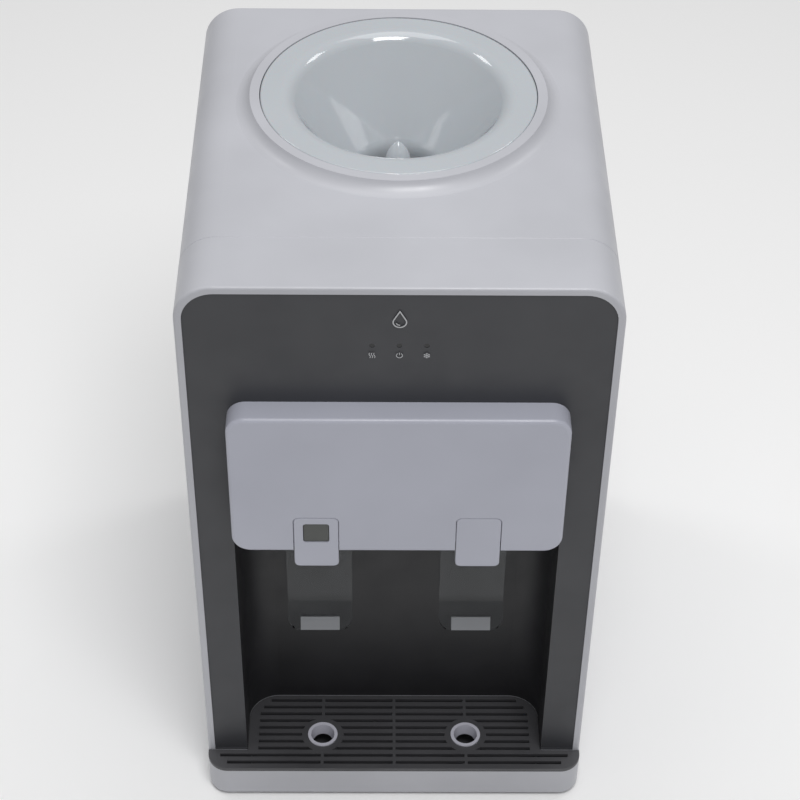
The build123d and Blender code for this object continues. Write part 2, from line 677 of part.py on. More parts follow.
# Bottle seat: a lift-out funnel whose lip rolls into a bowl and narrows to the throat
with BuildPart() as bottle_seat:
    slope = tan(radians(BOWL_SLOPE))
    half_turn = tan(radians(BOWL_SLOPE / 2))
    lip_corner = BOWL_LIP_RADIUS - BOWL_ROLL * half_turn
    under_corner = lip_corner + SEAT_WALL * half_turn
    throat_outer = THROAT_RADIUS + SEAT_WALL
    under_z = RIM_Z - SEAT_WALL
    with BuildSketch(upright_section(0, SEAT_Y)):
        with BuildLine():
            FilletPolyline(
                (SEAT_RADIUS, SEAT_LEDGE_Z),
                (SEAT_RADIUS, RIM_Z),
                (lip_corner, RIM_Z),
                (THROAT_RADIUS, RIM_Z - (lip_corner - THROAT_RADIUS) * slope),
                (THROAT_RADIUS, THROAT_Z),
                radius=(SEAT_WALL / 2, BOWL_ROLL, THROAT_ROLL),
            )
            Line((THROAT_RADIUS, THROAT_Z), (throat_outer, THROAT_Z))
            FilletPolyline(
                (throat_outer, THROAT_Z),
                (throat_outer, under_z - (under_corner - throat_outer) * slope),
                (under_corner, under_z),
                (SEAT_RADIUS - SEAT_WALL, under_z),
                (SEAT_RADIUS - SEAT_WALL, SEAT_LEDGE_Z),
                radius=(THROAT_ROLL - SEAT_WALL, BOWL_ROLL - SEAT_WALL, SEAT_WALL / 2),
            )
            Line((SEAT_RADIUS - SEAT_WALL, SEAT_LEDGE_Z), (SEAT_RADIUS, SEAT_LEDGE_Z))
        make_face()
    revolve(axis=Axis((0, SEAT_Y, 0), (0, 0, 1)))
save(bottle_seat.part, "bottle_seat")

# Water probe: a hollow spike on three ribs that opens the bottle's valve cap
with BuildPart() as water_probe:
    probe_tip = RIM_Z - PROBE_TIP_DROP
    shoulder_z = probe_tip - PROBE_CONE
    bore_top_z = shoulder_z - PROBE_CONE
    with BuildSketch(upright_section(0, SEAT_Y)):
        with BuildLine():
            Polyline(
                (PROBE_TIP_RADIUS, probe_tip), (0, probe_tip), (0, THROAT_Z),
                (PROBE_RADIUS, THROAT_Z), (PROBE_RADIUS, shoulder_z),
            )
            ThreePointArc(
                (PROBE_RADIUS, shoulder_z),
                (PROBE_BULGE[0] * PROBE_RADIUS, shoulder_z + PROBE_BULGE[1] * PROBE_CONE),
                (PROBE_TIP_RADIUS, probe_tip),
            )
        make_face()
    revolve(axis=Axis((0, SEAT_Y, 0), (0, 0, 1)))
    with BuildSketch(Plane.XY.offset(THROAT_Z)):
        with Locations((0, SEAT_Y)):
            with PolarLocations(0, 3, start_angle=90):
                Rectangle(THROAT_RADIUS, PROBE_RIB, align=(Align.MIN, Align.CENTER))
    extrude(amount=PROBE_FOOT)
    with Locations((0, SEAT_Y, THROAT_Z)):
        Cylinder(PROBE_RADIUS - PROBE_RIB, bore_top_z - THROAT_Z, align=LOW, mode=Mode.SUBTRACT)
    with BuildSketch(Plane.XY.offset(bore_top_z - PROBE_RIB)):
        with Locations((0, SEAT_Y)):
            with PolarLocations(PROBE_RADIUS, 3, start_angle=30):
                Rectangle(2 * PROBE_RIB, PROBE_RIB)
    extrude(amount=-PROBE_WINDOW, mode=Mode.SUBTRACT)
save(water_probe.part, "water_probe")

with BuildPart() as seat_seal:
    with BuildSketch(Plane.XY.offset(THROAT_Z)):
        with Locations((0, SEAT_Y)):
            Circle(NECK_RADIUS - SEAT_GAP)
            Circle(throat_outer, mode=Mode.SUBTRACT)
    extrude(amount=2 * PROBE_RIB)
save(seat_seal.part, "seat_seal")

# Side panels: folded sheet with a flange at the back
def side_panel(side):
    """One painted side sheet; side is -1 for the left one and 1 for the right one."""
    with BuildPart() as panel:
        with BuildSketch(Plane.XY.offset(BASE_HEIGHT)):
            with Locations((side * HALF_WIDTH, BEZEL_BACK_Y)):
                Rectangle(
                    SHEET, FLANGE_Y - BEZEL_BACK_Y,
                    align=(Align.MAX if side > 0 else Align.MIN, Align.MIN),
                )
            with Locations((side * RECESS_WIDTH / 2, FLANGE_Y)):
                Rectangle(
                    HALF_WIDTH - RECESS_WIDTH / 2, SHEET,
                    align=(Align.MIN if side > 0 else Align.MAX, Align.MAX),
                )
        extrude(amount=SKIRT_Z - BASE_HEIGHT)
        with BuildSketch(seen_from_front(REAR_Y)):
            with Locations([(side * screw_x, z) for z in screw_heights]):
                Circle(SCREW_RADIUS + SCREW_GAP)
        extrude(amount=RECESS_DEPTH, mode=Mode.SUBTRACT)
    return panel.part


screw_x = (HALF_WIDTH + RECESS_WIDTH / 2) / 2
screw_heights = [z for z in SCREW_HEIGHTS if z < SKIRT_Z]
save(side_panel(-1), "left_side_panel")
save(side_panel(1), "right_side_panel")

# Rear panel: a pressed hat section with the condenser's recess and the rear fittings' holes
with BuildPart() as rear_panel:
    recess_half = RECESS_WIDTH / 2
    with BuildSketch(Plane.XY.offset(BASE_HEIGHT)):
        with Locations((0, RECESS_Y)):
            Rectangle(RECESS_WIDTH, SHEET, align=(Align.CENTER, Align.MAX))
        for side in (-1, 1):
            with Locations((side * recess_half, RECESS_Y - SHEET)):
                Rectangle(
                    SHEET, FLANGE_Y - RECESS_Y,
                    align=(Align.MAX if side > 0 else Align.MIN, Align.MIN),
                )
            with Locations((side * (recess_half - SHEET), FLANGE_Y - SHEET)):
                Rectangle(
                    HALF_WIDTH - recess_half, SHEET,
                    align=(Align.MIN if side > 0 else Align.MAX, Align.MAX),
                )
    extrude(amount=SKIRT_Z - BASE_HEIGHT)
    with BuildSketch(seen_from_front(REAR_Y)):
        with Locations([(side * screw_x, z) for side in (-1, 1) for z in screw_heights]):
            Circle(SCREW_RADIUS + SCREW_GAP)
        with Locations([(x, DRAIN_HEIGHT) for x in DRAIN_XS]):
            Circle(SPIGOT_RADIUS)
        with Locations((INLET_X, INLET_HEIGHT)):
            Rectangle(*INLET_BODY)
        with Locations([(x, SWITCH_Z) for x in SWITCH_XS]):
            Rectangle(SWITCH_WIDTH - 2 * SHEET, SWITCH_TALL - 2 * SHEET)
        with Locations((CONDENSER_INLET_X, CONDENSER_TOP_Z)):
            Circle(LINE_RADIUS + HOLE_GAP)
        with Locations((DRIER_X, CONDENSER_BOTTOM)):
            Circle(LINE_RADIUS + HOLE_GAP)
    extrude(amount=2 * RECESS_DEPTH, mode=Mode.SUBTRACT)
save(rear_panel.part, "rear_panel")

with BuildPart() as rear_panel_screws:
    for side in (-1, 1):
        for z in screw_heights:
            with BuildSketch(seen_from_front(FLANGE_Y)):
                with Locations((side * screw_x, z)):
                    Circle(SCREW_HEAD_RADIUS)
            extrude(amount=-SCREW_HEAD_HEIGHT)
            with BuildSketch(seen_from_front(FLANGE_Y)):
                with Locations((side * screw_x, z)):
                    Circle(SCREW_RADIUS)
            extrude(amount=SCREW_LENGTH)
save(rear_panel_screws.part, "rear_panel_screws")

# Cold tank: a stainless can hung under the seat, its neck round the throat
feed_hole = (0.0, SEAT_Y)
cold_hole = (40.0, SEAT_Y - 31.0)
drain_hole = (DRAIN_XS[0], SEAT_Y + 24.0)
floor_holes = [feed_hole, cold_hole, drain_hole]
with BuildPart() as cold_tank:
    with BuildSketch(upright_section(0, SEAT_Y)):
        with BuildLine():
            Polyline(
                (0, TANK_Z), (TANK_RADIUS, TANK_Z), (TANK_RADIUS, TANK_TOP_Z),
                (NECK_RADIUS + TANK_SHEET, TANK_TOP_Z),
                (NECK_RADIUS + TANK_SHEET, TANK_TOP_Z + NECK_HEIGHT),
                (NECK_RADIUS, TANK_TOP_Z + NECK_HEIGHT),
                (NECK_RADIUS, TANK_TOP_Z - TANK_SHEET),
                (TANK_RADIUS - TANK_SHEET, TANK_TOP_Z - TANK_SHEET),
                (TANK_RADIUS - TANK_SHEET, TANK_Z + TANK_SHEET),
                (0, TANK_Z + TANK_SHEET), close=True,
            )
        make_face()
    revolve(axis=Axis((0, SEAT_Y, 0), (0, 0, 1)))
    with Locations([(x, y, TANK_Z) for x, y in floor_holes]):
        Cylinder(HOSE_BORE, 4 * TANK_SHEET, mode=Mode.SUBTRACT)
save(cold_tank.part, "cold_tank")

with BuildPart() as baffle_plate:
    with Locations((0, SEAT_Y, TANK_Z + BAFFLE_HEIGHT)):
        Cylinder(TANK_RADIUS - TANK_SHEET, 2 * TANK_SHEET, align=LOW)
        with PolarLocations(TANK_RADIUS * 0.75, 6):
            Cylinder(HOSE_BORE, 8 * TANK_SHEET, mode=Mode.SUBTRACT)
    with Locations((0, SEAT_Y, TANK_Z + TANK_SHEET)):
        Cylinder(HOSE_RADIUS, BAFFLE_HEIGHT + TANK_SHEET, align=LOW)
        Cylinder(HOSE_BORE, 2 * BAFFLE_HEIGHT, align=LOW, mode=Mode.SUBTRACT)
save(baffle_plate.part, "baffle_plate")

# Evaporator: a copper coil wound on the tank, with its inlet low and its outlet high
coil_top_z = COIL_Z + COIL_TURNS * COIL_PITCH
with BuildPart() as evaporator_coil:
    with BuildLine(Plane((0, SEAT_Y, COIL_Z))) as winding:
        Helix(pitch=COIL_PITCH, height=COIL_TURNS * COIL_PITCH, radius=COIL_RADIUS)
    with BuildSketch(Plane(origin=winding.line @ 0, z_dir=winding.line % 0)):
        Circle(COIL_TUBE_RADIUS)
    sweep(is_frenet=True)
save(evaporator_coil.part, "evaporator_coil")

# Foam jacket: hugs the tank above and below the coil and leaves the coil a groove
coil_port_x = COIL_RADIUS + COIL_TUBE_RADIUS
with BuildPart() as cold_tank_insulation:
    with Locations((0, SEAT_Y, SHELF_Z)):
        Cylinder(FOAM_RADIUS, FOAM_FLOOR + TANK_HEIGHT - 2 * TANK_SHEET, align=LOW)
    with Locations((0, SEAT_Y, TANK_Z)):
        Cylinder(TANK_RADIUS + COIL_GAP / 2, TANK_HEIGHT, align=LOW, mode=Mode.SUBTRACT)
    with Locations((0, SEAT_Y, COIL_Z - COIL_PITCH)):
        Cylinder(
            COIL_RADIUS + COIL_TUBE_RADIUS + HOLE_GAP, (COIL_TURNS + 2) * COIL_PITCH,
            align=LOW, mode=Mode.SUBTRACT,
        )
    with Locations([(x, y, SHELF_Z) for x, y in floor_holes]):
        Cylinder(HOSE_RADIUS + HOLE_GAP, FOAM_FLOOR, align=LOW, mode=Mode.SUBTRACT)
    for z in (COIL_Z, coil_top_z):
        with BuildSketch(Plane.YZ.offset(coil_port_x)):
            with Locations((SEAT_Y, z)):
                Circle(LINE_RADIUS + HOLE_GAP)
        extrude(amount=FOAM_RADIUS, mode=Mode.SUBTRACT)
save(cold_tank_insulation.part, "cold_tank_insulation")

# Shelf: folded sheet from side to side that carries the cold tank in its foam
shelf_holes = [(drain_hole, HOSE_RADIUS), (feed_hole, HOSE_RADIUS), (cold_hole, HOSE_RADIUS)]
for place in ((DRIER_X, DRIER_Y), (SUCTION_X, SEAT_Y), (CONDENSER_INLET_X, DISCHARGE_Y)):
    shelf_holes.append((place, LINE_RADIUS))
with BuildPart() as tank_shelf:
    with BuildSketch(seen_from_front(SEAT_Y + SHELF_FRONT)):
        shelf_half = HALF_WIDTH - SHEET
        with BuildLine():
            Polyline(
                (-shelf_half, SHELF_Z - FOAM_FLOOR), (-shelf_half, SHELF_Z), (shelf_half, SHELF_Z),
                (shelf_half, SHELF_Z - FOAM_FLOOR), (shelf_half - SHEET, SHELF_Z - FOAM_FLOOR),
                (shelf_half - SHEET, SHELF_Z - SHEET), (-shelf_half + SHEET, SHELF_Z - SHEET),
                (-shelf_half + SHEET, SHELF_Z - FOAM_FLOOR), close=True,
            )
        make_face()
    extrude(amount=-(SHELF_BACK - SHELF_FRONT))
    for place, radius in shelf_holes:
        with Locations((*place, SHELF_Z)):
            Cylinder(radius + HOLE_GAP, 4 * SHEET, mode=Mode.SUBTRACT)
save(tank_shelf.part, "tank_shelf")

# Hot tank: a small stainless boiler with a band heater, on a folded bracket
with BuildPart() as hot_tank:
    with Locations((HOT_X, HOT_Y, HOT_BOTTOM)):
        Cylinder(HOT_RADIUS, HOT_HEIGHT, align=LOW)
    fillet(hot_tank.edges().filter_by(GeomType.CIRCLE), HOT_EDGE_RADIUS)
    with Locations((HOT_X, HOT_Y, HOT_BOTTOM - NIPPLE_LENGTH)):
        Cylinder(NIPPLE_RADIUS, HOT_HEIGHT + 2 * NIPPLE_LENGTH, align=LOW)
    with BuildSketch(Plane.YZ.offset(HOT_X)):
        with Locations((HOT_Y, HOT_BOTTOM + NIPPLE_LENGTH)):
            Circle(NIPPLE_RADIUS)
    extrude(amount=HOT_RADIUS + NIPPLE_LENGTH)
    with Locations((HOT_X, HOT_Y, HOT_BOTTOM + TANK_SHEET)):
        Cylinder(HOT_RADIUS - TANK_SHEET, HOT_HEIGHT - 2 * TANK_SHEET, align=LOW, mode=Mode.SUBTRACT)
    with Locations((HOT_X, HOT_Y, HOT_BOTTOM - NIPPLE_LENGTH)):
        Cylinder(HOSE_BORE, HOT_HEIGHT + 2 * NIPPLE_LENGTH, align=LOW, mode=Mode.SUBTRACT)
    with BuildSketch(Plane.YZ.offset(HOT_X)):
        with Locations((HOT_Y, HOT_BOTTOM + NIPPLE_LENGTH)):
            Circle(HOSE_BORE)
    extrude(amount=HOT_RADIUS + NIPPLE_LENGTH, mode=Mode.SUBTRACT)
save(hot_tank.part, "hot_tank")

with BuildPart() as band_heater:
    band_bottom = HOT_BOTTOM + (HOT_HEIGHT - BAND_HEIGHT) / 2
    with Locations((HOT_X, HOT_Y, band_bottom)):
        Cylinder(HOT_RADIUS + BAND_THICKNESS, BAND_HEIGHT, align=LOW)
        with Locations((0, -HOT_RADIUS - BAND_THICKNESS, (BAND_HEIGHT - BAND_CLAMP[2]) / 2)):
            Box(*BAND_CLAMP, align=LOW)
        Cylinder(HOT_RADIUS + LENS_GAP, HOT_HEIGHT, align=LOW, mode=Mode.SUBTRACT)
save(band_heater.part, "band_heater")

# Thermostats: two snap discs on the hot tank's top and the cold tank's control on the shelf
disc_places = [(HOT_X + side * SNAP_DISC_X, HOT_Y + SNAP_DISC_Y) for side in (-1, 1)]
control_place = (-HALF_WIDTH + CONTROL_INSET, SEAT_Y + CONTROL_Y)
with BuildPart() as thermostats:
    with Locations([(x, y, HOT_TOP_Z) for x, y in disc_places]):
        Cylinder(SNAP_DISC_RADIUS, SNAP_DISC_HEIGHT, align=LOW)
    with Locations((*control_place, SHELF_Z)):
        Box(*CONTROL_SIZE, align=LOW)
    with Locations((*control_place, SHELF_Z + CONTROL_SIZE[2])):
        Cylinder(KNOB_RADIUS, KNOB_HEIGHT, align=LOW)
save(thermostats.part, "thermostats")

with BuildPart() as hot_tank_bracket:
    bracket_half = HOT_RADIUS + BRACKET_MARGIN
    with BuildSketch(seen_from_front(HOT_Y - BRACKET_DEPTH / 2)):
        with BuildLine():
            Polyline(
                (HOT_X - bracket_half, BASE_FLOOR_Z), (HOT_X - bracket_half, HOT_BOTTOM),
                (HOT_X + bracket_half, HOT_BOTTOM), (HOT_X + bracket_half, BASE_FLOOR_Z),
                (HOT_X + bracket_half - SHEET, BASE_FLOOR_Z),
                (HOT_X + bracket_half - SHEET, HOT_BOTTOM - SHEET),
                (HOT_X - bracket_half + SHEET, HOT_BOTTOM - SHEET),
                (HOT_X - bracket_half + SHEET, BASE_FLOOR_Z), close=True,
            )
        make_face()
    extrude(amount=-BRACKET_DEPTH)
    with Locations((HOT_X, HOT_Y, HOT_BOTTOM)):
        Cylinder(NIPPLE_RADIUS + HOLE_GAP, 4 * SHEET, mode=Mode.SUBTRACT)
save(hot_tank_bracket.part, "hot_tank_bracket")

# Water hoses: the hot tank's feed, the two tap supplies and the two drains
nipple_z = HOT_BOTTOM + NIPPLE_LENGTH
supply_z = SHELF_Z - FOAM_FLOOR - 2 * HOSE_RADIUS
supply_y = SHANK_END_Y + 4 * HOSE_RADIUS
with BuildPart() as water_hoses:
    add(hose(
        [(*feed_hole, TANK_Z), (*feed_hole, nipple_z + 50), (0, HOT_Y, nipple_z),
         (HOT_X + HOT_RADIUS + NIPPLE_LENGTH, HOT_Y, nipple_z)],
        [18, 7], HOSE_RADIUS, HOSE_BORE,
    ))
    add(hose(
        [(HOT_X, HOT_Y, HOT_TOP_Z + NIPPLE_LENGTH), (HOT_X, HOT_Y, supply_z),
         (-TAP_SPREAD, supply_y, supply_z), (-TAP_SPREAD, supply_y, SHANK_HEIGHT),
         (-TAP_SPREAD, SHANK_END_Y, SHANK_HEIGHT)],
        [9, 16, 16], HOSE_RADIUS, HOSE_BORE,
    ))
    add(hose(
        [(*cold_hole, TANK_Z), (*cold_hole, supply_z), (TAP_SPREAD, supply_y, supply_z),
         (TAP_SPREAD, supply_y, SHANK_HEIGHT), (TAP_SPREAD, SHANK_END_Y, SHANK_HEIGHT)],
        [16, 16, 16], HOSE_RADIUS, HOSE_BORE,
    ))
save(water_hoses.part, "water_hoses")

spigot_y = RECESS_Y - SHEET - SPIGOT_LENGTH
with BuildPart() as drain_hoses:
    add(hose(
        [(HOT_X, HOT_Y, HOT_BOTTOM - NIPPLE_LENGTH), (HOT_X, HOT_Y, DRAIN_HEIGHT),
         (DRAIN_XS[0], HOT_Y + 60, DRAIN_HEIGHT), (DRAIN_XS[0], spigot_y, DRAIN_HEIGHT)],
        [14, 30], HOSE_RADIUS, HOSE_BORE,
    ))
    add(hose(
        [(*drain_hole, TANK_Z), (*drain_hole, HOT_BOTTOM), (DRAIN_XS[1], SEAT_Y + 56, DRAIN_HEIGHT),
         (DRAIN_XS[1], spigot_y, DRAIN_HEIGHT)],
        [30, 16], HOSE_RADIUS, HOSE_BORE,
    ))
save(drain_hoses.part, "drain_hoses")


# Taps: an upright barrel on a threaded shank that passes through the alcove's back wall
def tap_body(x):
    """The barrel, its spout, its shank with a flange and the lever's pivot block."""
    with BuildPart() as body:
        with Locations((x, TAP_Y, SPOUT_BOTTOM)):
            Cylinder(SPOUT_RADIUS, BARREL_BOTTOM - SPOUT_BOTTOM, align=LOW)
        with Locations((x, TAP_Y, BARREL_BOTTOM)):
            Cylinder(BARREL_RADIUS, BARREL_TOP - BARREL_BOTTOM, align=LOW)
        with BuildSketch(seen_from_front(TAP_Y)):
            with Locations((x, SHANK_HEIGHT)):
                Circle(SHANK_RADIUS)
        extrude(amount=-(SHANK_END_Y - TAP_Y))
        with BuildSketch(seen_from_front(BACK_WALL_Y)):
            with Locations((x, SHANK_HEIGHT)):
                Circle(SHANK_RADIUS + 2 * TAP_FLANGE)
        extrude(amount=TAP_FLANGE)
        block_half = FORK_HALF_GAP - 2 * NUB_RADIUS / 3
        with BuildSketch(Plane.YZ.offset(x - block_half)) as block:
            with Locations((PIVOT_Y, PIVOT_HEIGHT)):
                Circle(3 * PIN_RADIUS)
                Rectangle(PIVOT_LEAD, 6 * PIN_RADIUS, align=(Align.MIN, Align.CENTER))
        extrude(amount=2 * block_half)
        with Locations((x, TAP_Y, SEAT_LEVEL)):
            Cylinder(CHAMBER_RADIUS, BARREL_TOP - SEAT_LEVEL, align=LOW, mode=Mode.SUBTRACT)
        with Locations((x, TAP_Y, SPOUT_BOTTOM)):
            Cylinder(SPOUT_BORE, BARREL_TOP - SPOUT_BOTTOM, align=LOW, mode=Mode.SUBTRACT)
        with BuildSketch(seen_from_front(TAP_Y)):
            with Locations((x, SHANK_HEIGHT)):
                Circle(SHANK_BORE)
        extrude(amount=-(SHANK_END_Y - TAP_Y), mode=Mode.SUBTRACT)
        with BuildSketch(Plane.YZ.offset(x - BARREL_RADIUS)):
            with Locations((PIVOT_Y, PIVOT_HEIGHT)):
                Circle(PIN_RADIUS + PIN_GAP)
        extrude(amount=2 * BARREL_RADIUS, mode=Mode.SUBTRACT)
    return body.part


def tap_bonnet(x):
    """The ribbed cap that closes the barrel and guides the valve stem."""
    with BuildPart() as bonnet:
        with BuildSketch(Plane.XY.offset(BARREL_TOP)):
            with Locations((x, TAP_Y)):
                Circle(BARREL_RADIUS)
                with PolarLocations(BARREL_RADIUS, 16):
                    Circle(PIN_RADIUS / 3, mode=Mode.SUBTRACT)
                Circle(STEM_RADIUS + STEM_GAP, mode=Mode.SUBTRACT)
        extrude(amount=BONNET_HEIGHT)
    return bonnet.part


def valve_stem(x):
    """The stem: a rubber-faced plug at the seat and a flat head for the lever to lift."""
    with BuildPart() as stem:
        with Locations((x, TAP_Y, SEAT_LEVEL)):
            Cylinder(PLUG_RADIUS, PLUG_HEIGHT, align=LOW)
            Cylinder(STEM_RADIUS, STEM_HEAD_BOTTOM - SEAT_LEVEL, align=LOW)
        with Locations((x, TAP_Y, STEM_HEAD_BOTTOM)):
            Cylinder(STEM_HEAD_RADIUS, STEM_HEAD_HEIGHT, align=LOW)
    return stem.part


def valve_spring(x):
    """The coil spring between the plug and the bonnet, ground flat at both ends."""
    bottom = SEAT_LEVEL + PLUG_HEIGHT
    length = BARREL_TOP - bottom
    with BuildPart() as spring:
        with BuildLine(Plane((x, TAP_Y, bottom + SPRING_WIRE))) as winding:
            Helix(pitch=(length - 2 * SPRING_WIRE) / SPRING_TURNS,
                  height=length - 2 * SPRING_WIRE, radius=SPRING_RADIUS)
        with BuildSketch(Plane(origin=winding.line @ 0, z_dir=winding.line % 0)):
            Circle(SPRING_WIRE)
        sweep(is_frenet=True)
    return spring.part


def tap_lever(x, with_window):
    """The lever: a tab in the cover's slot, two fork arms round the barrel and a crossbar."""
    arm_points = [
        (TAB_BACK_Y, TAB_TOP - 26), (TAB_BACK_Y, TAB_TOP - 3), (PIVOT_Y - 5, PIVOT_HEIGHT + 7),
        (TAP_Y - 4, NUB_HEIGHT + 3.5), (TAP_Y + 4, NUB_HEIGHT + 3.5), (PADDLE_Y - 1, PIVOT_HEIGHT - 6),
        (PADDLE_Y, CROSSBAR_BOTTOM), (PADDLE_Y - 5, CROSSBAR_BOTTOM),
        (PADDLE_Y - 9, PIVOT_HEIGHT - 14), (PIVOT_Y, PIVOT_HEIGHT - 7), (PIVOT_Y - 8, PIVOT_HEIGHT - 18),
        (PIVOT_Y - 10, TAB_TOP - 26),
    ]
    with BuildPart() as lever:
        with BuildSketch(seen_from_front(COVER_Y)) as face:
            with Locations((x, TAB_TOP - TAB_HEIGHT / 2)):
                RectangleRounded(TAB_WIDTH, TAB_HEIGHT, TAB_CORNER_RADIUS)
        extrude(amount=-TAB_THICKNESS)
        fillet(lever.faces().sort_by(Axis.Y)[0].edges(), TAB_EDGE_RADIUS)
        for side in (-1, 1):
            with BuildSketch(Plane.YZ.offset(x + side * (FORK_HALF_GAP + FORK_ARM / 2))):
                with BuildLine():
                    Polyline(*arm_points, close=True)
                make_face()
            extrude(amount=FORK_ARM / 2, both=True)
            with BuildSketch(Plane.YZ.offset(x + side * FORK_HALF_GAP)):
                with Locations((TAP_Y, NUB_HEIGHT)):
                    Circle(NUB_RADIUS)
            extrude(amount=-side * (FORK_HALF_GAP - NUB_GAP))
        with Locations((x, PADDLE_Y, CROSSBAR_BOTTOM)):
            Box(2 * FORK_HALF_GAP, CROSSBAR_THICKNESS, CROSSBAR_HEIGHT,
                align=(Align.CENTER, Align.MAX, Align.MIN))
        with BuildSketch(Plane.YZ.offset(x - TAB_WIDTH)):
            with Locations((PIVOT_Y, PIVOT_HEIGHT)):
                Circle(PIN_RADIUS + PIN_GAP)
        extrude(amount=2 * TAB_WIDTH, mode=Mode.SUBTRACT)
        if with_window:
            with BuildSketch(seen_from_front(TAB_BACK_Y)):
                with Locations((x, LOCK_MIDDLE)):
                    Rectangle(LOCK_WIDTH + 2 * LOCK_GAP + 2 * LOCK_SLEEVE_WALL,
                              LOCK_HEIGHT + 2 * LOCK_GAP + 2 * LOCK_SLEEVE_WALL)
            extrude(amount=-LOCK_SLEEVE)
            with BuildSketch(seen_from_front(COVER_Y)):
                with Locations((x, LOCK_MIDDLE)):
                    RectangleRounded(LOCK_WIDTH + 2 * LOCK_GAP, LOCK_HEIGHT + 2 * LOCK_GAP,
                                     LOCK_CORNER_RADIUS + LOCK_GAP)
            extrude(amount=-TAB_THICKNESS - LOCK_SLEEVE, mode=Mode.SUBTRACT)
    return lever.part


def tap_paddle(x):
    """The clear paddle a cup pushes: a sheet bent forward low down, with rounded lower corners."""
    drop = PADDLE_BEND - PADDLE_TIP
    tip_y = PADDLE_Y - drop * tan(radians(PADDLE_LEAN))
    with BuildPart() as paddle:
        with BuildSketch(Plane.YZ.offset(x)):
            with BuildLine():
                FilletPolyline(
                    (PADDLE_Y, PADDLE_TOP), (PADDLE_Y, PADDLE_BEND), (tip_y, PADDLE_TIP),
                    radius=PADDLE_BEND_RADIUS,
                )
                Line((tip_y, PADDLE_TIP), (tip_y + PADDLE_THICKNESS, PADDLE_TIP))
                FilletPolyline(
                    (tip_y + PADDLE_THICKNESS, PADDLE_TIP), (PADDLE_Y + PADDLE_THICKNESS, PADDLE_BEND),
                    (PADDLE_Y + PADDLE_THICKNESS, PADDLE_TOP),
                    radius=PADDLE_BEND_RADIUS + PADDLE_THICKNESS,
                )
                Line((PADDLE_Y + PADDLE_THICKNESS, PADDLE_TOP), (PADDLE_Y, PADDLE_TOP))
            make_face()
        extrude(amount=PADDLE_WIDTH / 2, both=True)
        with BuildSketch(seen_from_front(PADDLE_Y)) as outline:
            with Locations((x, PADDLE_TIP)):
                Rectangle(PADDLE_WIDTH, PADDLE_TOP - PADDLE_TIP, align=(Align.CENTER, Align.MIN))
            fillet(outline.vertices().group_by(Axis.Y)[0], PADDLE_CORNER_RADIUS)
        extrude(amount=PADDLE_WIDTH, both=True, mode=Mode.INTERSECT)
    return paddle.part


def paddle_pad(x):
    """The opaque pad bonded to the paddle's lower front."""
    lean = radians(PADDLE_LEAN)
    front_foot = Vector(x, PADDLE_Y - (PADDLE_BEND - PADDLE_TIP) * tan(lean), PADDLE_TIP)
    foot = front_foot + Vector(0, sin(lean), cos(lean)) * PAD_RISE
    with BuildPart() as pad:
        with BuildSketch(Plane(origin=foot, x_dir=(1, 0, 0), z_dir=(0, -cos(lean), sin(lean)))):
            Rectangle(PAD_WIDTH, PAD_HEIGHT, align=(Align.CENTER, Align.MIN))
        extrude(amount=PAD_THICKNESS)
        fillet(pad.faces().sort_by(Axis.Y)[0].edges(), PAD_EDGE_RADIUS)
    return pad.part


for name, x in (("hot", -TAP_SPREAD), ("cold", TAP_SPREAD)):
    save(tap_body(x), f"{name}_tap_body")
    save(tap_bonnet(x), f"{name}_tap_bonnet")
    save(valve_stem(x), f"{name}_valve_stem")
    save(valve_spring(x), f"{name}_valve_spring")
    save(tap_lever(x, with_window=name == "hot"), f"{name}_tap_lever")
    save(tap_paddle(x), f"{name}_paddle")
    save(paddle_pad(x), f"{name}_paddle_pad")

with BuildPart() as lever_pins:
    for x in TAP_XS:
        with BuildSketch(Plane.YZ.offset(x - PIN_LENGTH / 2)):
            with Locations((PIVOT_Y, PIVOT_HEIGHT)):
                Circle(PIN_RADIUS)
        extrude(amount=PIN_LENGTH)
save(lever_pins.part, "lever_pins")

with BuildPart() as tap_nuts:
    with BuildSketch(seen_from_front(BACK_WALL_Y + PANEL_THICKNESS)):
        with Locations([(x, SHANK_HEIGHT) for x in TAP_XS]):
            RegularPolygon(NUT_ACROSS / 2, 6, major_radius=False)
        with Locations([(x, SHANK_HEIGHT) for x in TAP_XS]):
            Circle(SHANK_RADIUS, mode=Mode.SUBTRACT)
    extrude(amount=-NUT_THICKNESS)
save(tap_nuts.part, "tap_nuts")

# Child lock: a push button in the hot tab's window
with BuildPart() as child_lock_button:
    with BuildSketch(seen_from_front(COVER_Y + LOCK_RECESS)):
        with Locations((-TAP_SPREAD, LOCK_MIDDLE)):
            RectangleRounded(LOCK_WIDTH, LOCK_HEIGHT, LOCK_CORNER_RADIUS)
    extrude(amount=-LOCK_DEPTH)
    fillet(child_lock_button.faces().sort_by(Axis.Y)[0].edges(), LOCK_EDGE_RADIUS)
save(child_lock_button.part, "child_lock_button")

